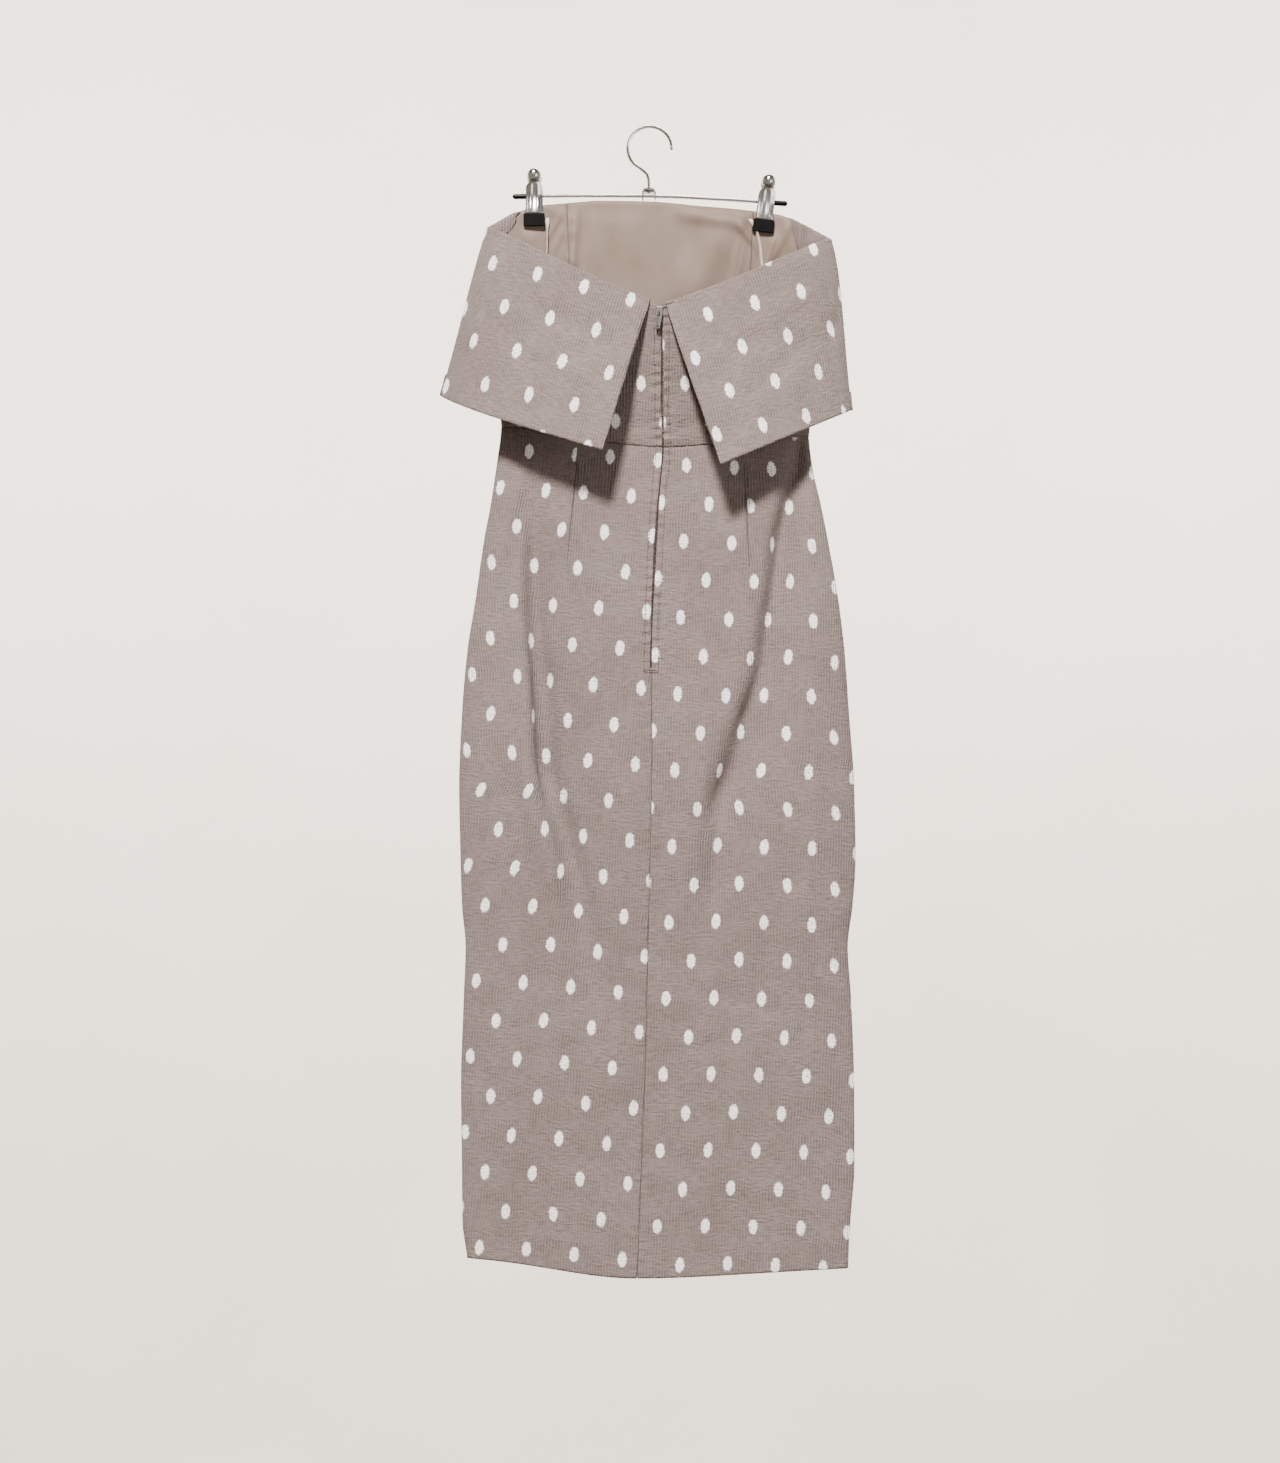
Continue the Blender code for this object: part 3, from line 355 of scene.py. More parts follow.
def cuff_edge(angle):
    """The cuff's free lower edge, on the outer face."""
    fraction, left, back = around(angle, closed=False)
    away = np.maximum(1 - fraction, 0.0)
    out_back = superellipse(fraction, CUFF_EDGE_BACK_POWER)
    out_front = superellipse(fraction, CUFF_EDGE_FRONT_POWER)
    middle = neckline(2 * QUARTER)[2] - CUFF_DROP_FRONT
    edges = []
    for corner, side, power in ((CUFF_CORNER_LEFT, CUFF_SIDE_LEFT, 0.8),
                                (CUFF_CORNER_RIGHT, CUFF_SIDE_RIGHT, 0.95)):
        back_edge = point(mix(corner[0], side[0], fraction), mix(side[1], corner[1], out_back),
                          mix(side[2], corner[2], away ** power))
        front_edge = point(mix(CENTRE_BACK["across"][0], side[0], fraction),
                           mix(side[1], CUFF_FRONT_DEPTH, out_front),
                           mix(middle, side[2], fraction ** 2))
        edges.append(np.where(back[..., None], back_edge, front_edge))
    return np.where(left[..., None], *edges)


def cuff(turn, path):
    """The cuff's outer face. path 0 to 1 is the lip and the roll, 1 to 2 the drop."""
    centre = CENTRE_BACK["across"][0]
    left_start = math.asin((centre - CUFF_BACK_LEFT_START) / (centre - NECK_LEFT))
    right_start = math.asin((CUFF_BACK_RIGHT_START - centre) / (NECK_RIGHT - centre))
    edge_angle = turn * QUARTER
    top_angle = np.where(turn <= 1, mix(left_start, QUARTER, turn), edge_angle)
    right_angle = mix(3 * QUARTER, 4 * QUARTER - right_start, turn - 3)
    top_angle = np.where(turn >= 3, right_angle, top_angle)
    corner = neckline(top_angle)
    along = unit(neckline(top_angle + 1e-3) - neckline(top_angle - 1e-3))
    away = unit(np.cross(along, (0.0, 0.0, -1.0)))
    up = unit(np.cross(away, along))
    up = np.where(up[..., 2:] < 0, -up, up)
    lip = read(CUFF_LIP, "length", turn, "turn")
    run = mix(-lip, ROLL_ARC, path)[..., None]
    swing = math.pi * (1 - run / ROLL_ARC)
    out = ROLL_CENTRE + ROLL_RADIUS * np.cos(swing)
    rolled = corner + away * out + up * ROLL_RADIUS * np.sin(swing)
    inside = corner + away * ROLL_INNER + up * run
    top = np.where(run < 0, inside, rolled)
    start = corner + away * ROLL_OUTER
    end = cuff_edge(edge_angle)
    span = end - start
    length = np.linalg.norm(span, axis=-1, keepdims=True)
    leave = (CUFF_TOP_FLARE * away - up) * length * CUFF_TOP_PULL
    s = (np.asarray(path) - 1)[..., None]
    drop = (1 + 2 * s) * (1 - s) ** 2 * start + s * (1 - s) ** 2 * leave
    drop = drop + s * s * (3 - 2 * s) * end + s * s * (s - 1) * span * CUFF_END_PULL
    return np.where(s <= 0, top, drop)


# Camera, light and floor

def make_camera():
    """Its lens shows VIEW_HEIGHT at the dress, over the picture's longer side."""
    data = bpy.data.cameras.new("camera")
    data.sensor_width = SENSOR
    data.lens = SENSOR * -CAMERA[1] / VIEW_HEIGHT
    data.clip_end = 60.0
    camera = bpy.data.objects.new("camera", data)
    camera.location = [c * MM for c in CAMERA]
    camera.rotation_euler = (QUARTER, 0.0, 0.0)
    bpy.context.collection.objects.link(camera)
    bpy.context.scene.camera = camera


def make_light(name, place, aim, size, power, colour):
    data = bpy.data.lights.new(name, "AREA")
    data.shape = "SQUARE"
    data.size = size
    data.energy = power
    data.color = colour[:3]
    light = bpy.data.objects.new(name, data)
    light.location = place
    light.rotation_euler = (Vector(aim) - Vector(place)).to_track_quat("-Z", "Y").to_euler()
    bpy.context.collection.objects.link(light)


def linear(colour):
    """An sRGB hex colour as linear RGBA."""
    values = [int(colour[k:k + 2], 16) / 255 for k in (1, 3, 5)]
    values = [v / 12.92 if v <= 0.04045 else ((v + 0.055) / 1.055) ** 2.4 for v in values]
    return (*values, 1.0)


def add(tree, kind, inputs=None, out=0, **settings):
    """Adds a shader node with its settings and its inputs, each a value or another node's output,
    and gives back the output that is wanted of it."""
    node = tree.nodes.new("ShaderNode" + kind)
    for name, value in settings.items():
        setattr(node, name, value)
    for name, value in (inputs or {}).items():
        if isinstance(value, bpy.types.NodeSocket):
            tree.links.new(value, node.inputs[name])
        else:
            node.inputs[name].default_value = value
    return node.outputs[out]


def start_material(name, roughness, metallic=0.0, sheen=0.0, specular=0.5):
    """A new material with its node tree and its shader."""
    material = bpy.data.materials.new(name)
    material.use_nodes = True
    tree = material.node_tree
    shader = tree.nodes["Principled BSDF"]
    for socket, value in (("Roughness", roughness), ("Metallic", metallic),
                          ("Sheen Weight", sheen), ("Specular IOR Level", specular)):
        shader.inputs[socket].default_value = value
    return material, tree, shader


# Shells of cloth

def facing(points):
    """Unit normals of a grid of points, away from the hollow."""
    along = np.gradient(points, axis=1)
    down = np.gradient(points, axis=0)
    normal = np.cross(along, down)
    length = np.linalg.norm(normal, axis=-1, keepdims=True)
    return normal / np.maximum(length, 1e-9)


def lay_flat(points, reference, flared=False):
    """Where each point lies on the unrolled cloth, across and down."""
    step = np.diff(points, axis=1)
    heading = math.copysign(1.0, points[-1, -1, 0] - points[-1, 0, 0])
    run = heading * np.hypot(step[..., 0], step[..., 1])
    across = np.pad(np.cumsum(run, axis=1), ((0, 0), (1, 0)))
    across += (points[:, reference, 0] - across[:, reference])[:, None]
    step = np.diff(points, axis=0)
    run = np.linalg.norm(step, axis=-1) if flared else np.hypot(step[..., 1], step[..., 2])
    down = np.pad(np.cumsum(run, axis=0), ((1, 0), (0, 0))) - points[0, :, 2]
    return across, down


def on_grain(points, across, down, spot, turn, stretch):
    """Cloth coordinates along the weave, with a spot's centre at the given place."""
    x, level = spot
    outer = np.hypot(points[..., 0] - x, points[..., 2] - level)
    row, column = np.unravel_index(outer.argmin(), outer.shape)
    off_x = across - across[row, column] - (x - points[row, column, 0])
    off_down = down - down[row, column] + (level - points[row, column, 2])
    swing = math.radians(turn)
    weft = off_x * math.cos(swing) + off_down * math.sin(swing)
    warp = -off_x * math.sin(swing) + off_down * math.cos(swing)
    return weft, warp / stretch


def creased(x, level, lines):
    """How far creases push the cloth in. Lean is the foot's swing to the right, in degrees."""
    total = np.zeros_like(x)
    for k in range(len(lines["across"])):
        line = {name: values[k] for name, values in lines.items()}
        swing = math.radians(line["lean"])
        away_x = x - line["across"]
        away_z = level - line["level"]
        off = away_x * math.cos(swing) + away_z * math.sin(swing)
        run = away_x * math.sin(swing) - away_z * math.cos(swing)
        fall = np.exp(-((off / line["width"]) ** 2) - (run / line["reach"]) ** 4)
        total += line["depth"] * fall
    return total


def rippled(across, down):
    """Shallow uneven waves that a hanging cloth keeps, from crossed sines of unlike length."""
    a = np.sin(across / 11.3 + 1.7 * np.sin(down / 37))
    b = np.sin(down / 17.9 + 2.1 * np.sin(across / 29 + 0.8))
    c = np.sin((across + 0.6 * down) / 23.7 + 1.3 * np.sin(down / 51))
    return (a * b + 0.7 * c) / 1.7


def draw_in(points, seams):
    """Moves the edges that are seams in by half the gap."""
    half = GAP / 2
    if "start" in seams:
        points[:, 0] += unit(points[:, 1] - points[:, 0]) * half
    if "end" in seams:
        points[:, -1] += unit(points[:, -2] - points[:, -1]) * half
    if "top" in seams:
        points[0] += unit(points[1] - points[0]) * half
    if "foot" in seams:
        points[-1] += unit(points[-2] - points[-1]) * half


def open_zip(points, column):
    """Draws the two edges over the zip apart, so that its dark teeth show in the gap."""
    edge = points[:, [column]].copy()
    off = np.linalg.norm(points - edge, axis=-1, keepdims=True)
    level = edge[..., 2:]
    uneven = 1 + ZIP_LIP_UNEVEN * np.sin(level / 27.0)
    wide = ZIP_LIP * smooth_step((level - ZIP_BOTTOM) / ZIP_LIP_REACH) * uneven
    away = unit(points[:, [len(points[0]) // 8 * (1 if column == 0 else -1)]] - edge)
    points += away * wide * np.clip(1 - off / ZIP_LIP_REACH, 0.0, 1.0)


def grid_mesh(name, points, weft, warp):
    """A grid in one piece, moved onto the points, with the weave's coordinates as its UV map."""
    rows, columns = points.shape[:2]
    shape = bmesh.new()
    bmesh.ops.create_grid(shape, x_segments=columns - 1, y_segments=rows - 1, size=0.5)
    mesh = bpy.data.meshes.new(name)
    shape.to_mesh(mesh)
    shape.free()
    flat = np.empty(len(mesh.vertices) * 3)
    mesh.vertices.foreach_get("co", flat)
    flat = flat.reshape(-1, 3) + 0.5
    column = np.rint(flat[:, 0] * (columns - 1)).astype(int)
    row = np.rint(flat[:, 1] * (rows - 1)).astype(int)
    mesh.vertices.foreach_set("co", (points[row, column] * MM).ravel())
    corner = np.empty(len(mesh.loops), int)
    mesh.loops.foreach_get("vertex_index", corner)
    laid = np.stack((weft[row, column], warp[row, column]), axis=-1)[corner] * MM
    layer = mesh.uv_layers.new(name="weave")
    layer.data.foreach_set("uv", laid.ravel())
    mesh.update()
    mesh.shade_smooth()
    return mesh


def add_piece(name, mesh, nodes=()):
    """A piece of the dress's own body, which may take the place of CAD nodes."""
    piece = bpy.data.objects.new(name, mesh)
    bpy.context.collection.objects.link(piece)
    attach(piece, "dress")
    if nodes:
        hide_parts(*nodes)
    return piece


# The outer face of each panel, as a grid of places and one of normals
FACES = {}


def shell(panel, surface, across, down, outside, inside, rests_on, slot="spotted_weave",
          cloth=WEAVE_CLOTH, under=0.0, reference=0, stretch=1.0, creases=None, ripple=0.35,
          edges=(), seams=(), shape=None, masked=None, shift=None, zip_side=None, flared=False):
    """One cut panel as a thin shell on its solid's form, with its thickness inwards. It is pushed
    in by its creases, its ripple and shape(a, b, points), less towards the edges named."""
    width, height, area, spot_across, spot_level, turn = PANELS[panel]
    a, b = np.meshgrid(across, down)
    points = surface(a, b)
    normal = facing(points)
    points = points - normal * under
    draw_in(points, seams)
    if zip_side is not None:
        open_zip(points, zip_side)
    weft, warp = lay_flat(points, reference, flared)
    folds = np.zeros_like(a)
    if creases is not None:
        folds = creased(points[..., 0], points[..., 2], creases)
    relief = folds + ripple * rippled(weft, warp)
    if shape is not None:
        relief = relief + shape(a, b, points)
    calm = np.ones_like(a)
    for edge in edges:
        distance = {"start": weft - weft[:, :1], "end": weft - weft[:, -1:],
                    "top": warp - warp[:1], "foot": warp - warp[-1:]}[edge]
        calm = calm * smooth_step(np.abs(distance) / EDGE_CALM)
    if masked is not None:
        calm = calm * masked(points)
    # The weave goes down into the creases, but stays even over the puckers
    weft, warp = lay_flat(points - normal * (folds * calm)[..., None], reference, flared)
    points = points - normal * (relief * calm)[..., None]
    weft, warp = on_grain(points, weft, warp, (spot_across, spot_level), turn, stretch)
    if shift is not None:
        weft = weft + shift(points)
    name = "shell_" + panel
    piece = add_piece(name, grid_mesh(name, points, weft, warp), (panel,))
    piece.data.materials.append(outside)
    piece.data.materials.append(inside)
    wall = piece.modifiers.new("cloth", "SOLIDIFY")
    wall.thickness = cloth * MM
    wall.offset = -1.0
    wall.material_offset = 1
    FACES[panel] = points, facing(points)


# Panels

LINING_SEAMS = (1.63 * QUARTER, 2.37 * QUARTER)
LINING_ENDS = (1.18 * QUARTER, 2.82 * QUARTER)
LINING_UNDER = SOLID_CLOTH + GAP
LINING_SHELL = 0.8 * LINING_CLOTH
LINING_RISE = 0.012
LINING_TUCK = 0.012

# Creases, one row each: the middle, half the length, the foot's swing to the right in degrees, half
# the width and how deep the cloth is pushed in. A negative depth is a ridge.
CREASE = "across level reach lean width depth"
BACK_CREASES = table(
    CREASE,
    (-84.3, -418, 56, -6.1, 2.0, 1.5),
    (104.3, -414, 62, 2.6, 2.0, 1.5),
    (-76, -470, 90, -7, 13, -1.6),
    (113, -470, 90, -9, 12, -1.5),
    (-152, -470, 80, -14, 7, 2.6),
    (-122, -560, 110, 3, 9, 5.5),
    (-112, -655, 80, 3, 10, 7.0),
    (-98, -745, 70, 16, 11, 6.5),
    (-82, -815, 70, 13, 14, 5.0),
    (-66, -895, 80, 12, 17, 3.6),
    (-133, -655, 100, 4, 11, -3.0),
    (-120, -760, 90, 14, 13, -3.0),
    (118, -610, 60, -22, 9, 4.0),
    (95, -690, 60, -24, 10, 6.0),
    (77, -775, 70, -9, 13, 5.5),
    (66, -860, 70, -10, 17, 3.4),
    (72, -670, 80, -22, 14, -2.6),
    (-60, -640, 120, 9, 16, 1.9),
    (-32, -760, 140, 11, 15, -1.6),
    (40, -560, 100, -16, 13, 1.4),
    (96, -700, 130, -14, 14, -1.9),
    (150, -620, 120, -9, 11, 1.8),
    (176, -760, 110, -4, 9, -1.4),
    (130, -880, 120, -16, 18, 1.7),
    (-150, -850, 130, 7, 14, 1.8),
    (-120, -1010, 110, 12, 17, -1.4),
    (-60, -1060, 120, 6, 20, 1.4),
    (70, -1030, 120, -8, 22, 1.5),
    (150, -1080, 110, 5, 18, -1.5),
    (-170, -1120, 90, -3, 10, 1.6),
    (30, -905, 70, 84, 9, 0.9),
    (60, -1000, 80, 97, 8, 0.9),
    (110, -955, 60, 78, 8, 0.8),
    (-70, -1000, 70, 98, 9, 0.8),
    (-20, -1120, 90, 93, 10, 0.8),
    (80, -1150, 80, 86, 9, -0.8),
)
FRONT_CREASES = table(
    CREASE,
    (-70, -420, 70, 7, 13, -1.6),
    (64, -400, 60, -9, 12, 1.5),
    (0, -520, 120, 4, 18, 1.4),
    (-140, -560, 120, 12, 14, 1.9),
    (150, -600, 130, -10, 13, 1.7),
    (30, -720, 150, -7, 20, -1.7),
    (-60, -800, 130, 9, 17, 1.6),
    (110, -860, 120, -12, 18, 1.6),
    (-130, -940, 130, 7, 16, -1.6),
    (10, -1000, 130, 3, 22, 1.5),
    (-80, -1100, 100, -6, 18, 1.5),
    (130, -1110, 110, 8, 17, -1.4),
    (40, -1060, 80, 84, 9, 0.8),
    (-90, -960, 70, 95, 8, 0.8),
)
BODICE_CREASES = table(
    CREASE,
    (-52, -280, 60, -12, 9, 1.6),
    (66, -290, 60, 14, 9, 1.5),
    (-110, -260, 70, 10, 12, 1.4),
    (130, -270, 70, -12, 12, 1.4),
    (-20, -320, 40, 70, 8, 1.0),
    (42, -325, 40, -72, 8, 1.0),
)
CUFF_CREASES = table(
    CREASE,
    (-60, -236, 90, 64, 12, 1.4),
    (-120, -250, 80, 58, 10, -1.3),
    (-168, -215, 60, 48, 11, 1.5),
    (-196, -262, 40, 20, 9, 1.3),
    (-95, -320, 70, 72, 10, 1.0),
    (-30, -270, 60, 20, 9, -1.0),
    (60, -250, 80, -50, 11, 1.3),
    (112, -222, 80, -58, 10, -1.4),
    (160, -250, 70, -52, 12, 1.4),
    (196, -230, 50, -16, 9, 1.2),
    (110, -330, 70, -70, 11, 1.0),
    (84, -300, 60, -24, 9, -1.0),
)
CUFF_FRONT_CREASES = table(
    CREASE,
    (-120, -170, 70, 8, 12, 1.5),
    (-40, -190, 70, -5, 15, -1.3),
    (40, -170, 60, 12, 13, 1.3),
    (120, -190, 70, -9, 12, 1.5),
    (0, -236, 90, 88, 8, 0.9),
)
LINING_CREASES = table(
    CREASE,
    (-30, -175, 90, 10, 50, 4.0),
    (-83, -125, 50, -4, 5, 4.4),
    (-87, -112, 6, 60, 2.5, 1.6),
    (-86, -131, 6, 55, 2.5, 1.4),
    (-85, -146, 6, 60, 2.5, 1.4),
    (-101, -92, 14, 80, 4, 3.2),
    (-103, -105, 18, -32, 2.6, 2.4),
    (-98, -119, 20, -24, 2.4, 1.8),
    (-129, -132, 40, 10, 8, 3.4),
    (-150, -120, 36, 26, 6, 1.8),
    (68, -97, 40, 80, 8, 7.0),
    (60, -150, 52, -26, 20, 7.0),
    (91, -160, 44, -10, 2.6, 2.4),
    (97, -158, 44, -12, 2.2, 2.2),
    (104, -113, 12, 55, 4, 4.4),
    (110, -122, 14, 30, 3, 3.0),
    (129, -138, 40, -20, 4, 3.6),
    (140, -130, 40, -28, 4, 2.4),
    (154, -126, 44, 14, 6, 2.0),
    (20, -260, 60, 80, 14, 1.4),
)

LIP_PRESS = 1.1
LIP_REACH = 0.3
NECK_TOP = -80.0
# Middles of the clips' pads
CLIP_GRIPS = ((-126.0, -101.6), (123.2, -107.9))

# Each panel as it shows: its flat width and height in metres, its area in square metres, where a
# spot's centre lies on it, and how far its weave is turned, in degrees
PANELS = {
    "skirt_back_left": (0.249, 0.912, 0.185, -137.4, -929.7, 4.3),
    "skirt_back_right": (0.246, 0.919, 0.202, 69.1, -946.0, 2.2),
    "skirt_front": (0.444, 0.912, 0.382, 0.0, -800.0, 0.5),
    "bodice_back_left": (0.203, 0.23, 0.033, -9.8, -282.2, 2.0),
    "bodice_back_right": (0.19, 0.221, 0.031, 37.6, -282.2, -1.0),
    "bodice_front": (0.376, 0.255, 0.086, 0.0, -300.0, 0.0),
    "cuff_back_left": (0.208, 0.213, 0.039, -107.2, -215.2, 15.4),
    "cuff_back_right": (0.205, 0.215, 0.037, 98.3, -246.8, -14.5),
    "cuff_front": (0.472, 0.276, 0.082, 0.0, -170.0, 0.0),
    "lining_side_left": (0.084, 0.247, 0.0175, 0.0, -600.0, 0.0),
    "lining_centre": (0.203, 0.257, 0.0485, 0.0, -600.0, 0.0),
    "lining_side_right": (0.086, 0.247, 0.0165, 0.0, -600.0, 0.0),
}
# The centre back edge of each half's grid, and the name of its side edge
HALVES = {"left": (0, "end"), "right": (-1, "start")}
# How much a cuff half's warp is drawn out where it bends over the neckline
CUFF_STRETCH = {"left": 1.06, "right": 1.08}

# The centre back seam: depths of its groove and puckers, and how far they reach to each side
SEAM_GROOVE = 1.0
GROOVE_REACH = 1.6
SEAM_PUCKER = 0.45
ZIP_PUCKER = 2.0
PUCKER_REACH = 9.5
PUCKER_LENGTH = 10.8
# The stitched rows beside the zip
ZIP_STITCH = 7.5
STITCH_GROOVE = 0.7
STITCH_REACH = 1.7
# The waist seam's puckers, and the ridge over the hem's turned cloth
WAIST_PUCKER = 1.2
WAIST_REACH = 5.0
HEM_RIDGE = 0.5
HEM_START = 0.955
# The lining's seams, and the width of lining for each radian round the body
LINING_RADIAN = 110.0
LINING_SEAM_REACH = 5.0
# Half the size of the place that each clip presses flat
CLIP_PRESS = (15.0, 12.0)
NECK_CALM = 26.0


def back_seam(points):
    """The centre back seam's groove and the uneven puckers beside it. Down to the zip's end they
    are deeper, and the two stitched rows draw a line each."""
    level = points[..., 2]
    aside = points[..., 0] - read(CENTRE_BACK, "across", level)
    off = np.abs(aside)
    run = level / PUCKER_LENGTH * 2 * math.pi + 2.6 * np.sin(level / 29.0)
    beat = np.sin(run + 1.3 * np.sin(level / 8.3 + 1.1) + 1.7 * np.sign(aside))
    zipped = smooth_step((level - ZIP_BOTTOM) / 8.0)
    uneven = 0.6 + 0.4 * np.sin(level / 41.0 + 0.7) * np.sin(level / 17.0 + 0.4 * np.sign(aside))
    size = mix(SEAM_PUCKER, ZIP_PUCKER * uneven, zipped)
    pucker = size * beat * np.exp(-((off / PUCKER_REACH) ** 2)) * (1 - np.exp(-((off / 1.8) ** 2)))
    row = STITCH_GROOVE * zipped * np.exp(-(((off - ZIP_STITCH) / STITCH_REACH) ** 2))
    return SEAM_GROOVE * np.exp(-((off / GROOVE_REACH) ** 2)) + pucker + row


def waist_pucker(points):
    """The waist seam draws the cloth in along it."""
    below = WAIST["back"] + 1.0 - points[..., 2]
    beat = 0.6 + 0.4 * np.sin(points[..., 0] / 5.1 + 1.9 * np.sin(points[..., 0] / 23.0))
    return WAIST_PUCKER * beat * np.exp(-((below / WAIST_REACH) ** 2))


# Darts of the skirt's back: where each starts and ends, and how much cloth it takes up
DARTS = ((-79.1, -366.0, -89.4, -471.0, -14.0), (101.6, -366.0, 107.1, -479.0, 12.0))


def dart_shift(points):
    """How far the weave beyond each dart is moved by the cloth that the dart takes up."""
    shift = np.zeros(points.shape[:2])
    for top_x, top, foot_x, foot, take in DARTS:
        along = (top - points[..., 2]) / (top - foot)
        line = mix(top_x, foot_x, along)
        beyond = (points[..., 0] < line) if take < 0 else (points[..., 0] > line)
        shift += take * np.clip(1 - along, 0.0, 1.1) * beyond
    return shift


def bodice_back_form(a, b, points):
    return back_seam(points) + waist_pucker(points)


def skirt_back_form(a, b, points):
    hem_ridge = -HEM_RIDGE * smooth_step((b - HEM_START) / 0.006)
    return bodice_back_form(a, b, points) + hem_ridge


def lip_form(a, b, points):
    """The facing's free edge inside the neckline lies on the lining."""
    return LIP_PRESS * smooth_step((LIP_REACH - b) / LIP_REACH)


def clear_of_clips(points):
    """0 where the clips press the cloth flat and along the top edge, 1 away from them."""
    calm = smooth_step((NECK_TOP - points[..., 2]) / NECK_CALM)
    for across, level in CLIP_GRIPS:
        away = (points[..., 0] - across) / CLIP_PRESS[0], (points[..., 2] - level) / CLIP_PRESS[1]
        calm = calm * smooth_step((np.hypot(*away) - 1.0) / 0.6)
    return calm


def lining_form(a, b, points):
    """The lining's two seams pull small puckers beside them."""
    form = np.zeros_like(a)
    for seam in LINING_SEAMS:
        off = np.abs(a - seam) * LINING_RADIAN
        beat = np.sin(points[..., 2] / 4.1 + 2.0 * np.sin(points[..., 2] / 17.0))
        form += np.exp(-((off / LINING_SEAM_REACH) ** 2)) * (0.8 + 0.7 * beat)
    return form


def from_zip(columns, side):
    """Columns round half of the back, finer towards the centre back seam, for its puckers."""
    half = QUARTER * np.linspace(0.0, 1.0, columns) ** 1.3
    return half if side == "left" else 4 * QUARTER - half[::-1]


def make_dress(weave, weave_back, lining_satin):
    """Every panel, from the skirt up. Columns and rows are as fine as its creases need."""
    weave_only = {"outside": weave, "inside": weave_back}
    rows = np.linspace(0.0, 1.0, 331)
    seams = ("start", "end", "top")
    for side, (zip_edge, side_edge) in HALVES.items():
        shell("skirt_back_" + side, skirt, from_zip(131, side), rows, reference=zip_edge,
              creases=BACK_CREASES, shape=skirt_back_form, shift=dart_shift, zip_side=zip_edge,
              edges=(side_edge,), seams=seams, rests_on=("shell_bodice_back_" + side,),
              **weave_only)
    shell("skirt_front", skirt, np.linspace(QUARTER, 3 * QUARTER, 171),
          np.linspace(0.0, 1.0, 231), reference=85, creases=FRONT_CREASES,
          edges=("start", "end"), seams=seams, rests_on=("shell_bodice_front",), **weave_only)

    rows = np.linspace(0.002, 1.0, 71)
    seams = ("start", "end", "foot")
    for side, (zip_edge, side_edge) in HALVES.items():
        shell("bodice_back_" + side, bodice, from_zip(91, side), rows, weave, lining_satin,
              reference=zip_edge, creases=BODICE_CREASES, shape=bodice_back_form,
              zip_side=zip_edge, edges=(side_edge, "top"), seams=seams,
              rests_on=("shell_cuff_back_" + side,))
    shell("bodice_front", bodice, np.linspace(QUARTER, 3 * QUARTER, 141), rows, reference=70,
          ripple=0.1, edges=("start", "end", "top", "foot"), seams=seams,
          rests_on=("shell_cuff_front",), **weave_only)

    roll = np.linspace(0.0, 1.0, 19)
    drop = np.linspace(1.0, 2.0, 71)[1:]
    rows = np.concatenate((roll, drop))
    seams = ("start", "end")
    for side, (zip_edge, side_edge) in HALVES.items():
        start = 0.0 if side == "left" else 3.0
        shell("cuff_back_" + side, cuff, np.linspace(start, start + 1.0, 111), rows,
              reference=zip_edge, stretch=CUFF_STRETCH[side], creases=CUFF_CREASES,
              edges=(side_edge, "top"), seams=seams, rests_on=(f"clip_{side}_pad_back",),
              **weave_only)
    shell("cuff_front", cuff, np.linspace(1.0, 3.0, 241), rows, reference=120, flared=True,
          creases=CUFF_FRONT_CREASES, shape=lip_form, edges=seams, seams=seams,
          rests_on=("clip_left_pad_front", "clip_right_pad_front"), **weave_only)

    ends = (LINING_ENDS[0], *LINING_SEAMS, LINING_ENDS[1])
    for part, start, end in zip(("side_left", "centre", "side_right"), ends, ends[1:]):
        shell("lining_" + part, lining, np.linspace(start, end, 81), np.linspace(0.0, 1.0, 61),
              lining_satin, lining_satin, slot="lining_satin", cloth=LINING_SHELL,
              under=LINING_UNDER, reference=40, ripple=0.0, creases=LINING_CREASES,
              shape=lining_form, masked=clear_of_clips, seams=("start", "end", "foot"),
              rests_on=("shell_cuff_front",))


# Materials

def per_metre(*sizes):
    """How often features of these sizes in millimetres repeat in a metre."""
    return tuple(1.0 / (size * MM) for size in sizes)


# A size that leaves a pattern's third axis as it is
METRE = 1000.0

# The spots stand in columns this far apart, with a column half a step lower midway between each
# two. A spot's edge is ragged by up to half of SPOT_RAG
SPOT_COLUMNS = 52.0
SPOT_STEP = 82.5
SPOT_WIDE = 9.2
SPOT_HIGH = 15.5
SPOT_RAG = 4.2
# The ribs are really about 2 mm apart, and are drawn at 3.2 mm so that they survive at this
# picture's size. They wander by up to this much of their wave, in radians
RIB_APART = 3.2
RIB_WANDER = 3.2 * math.pi


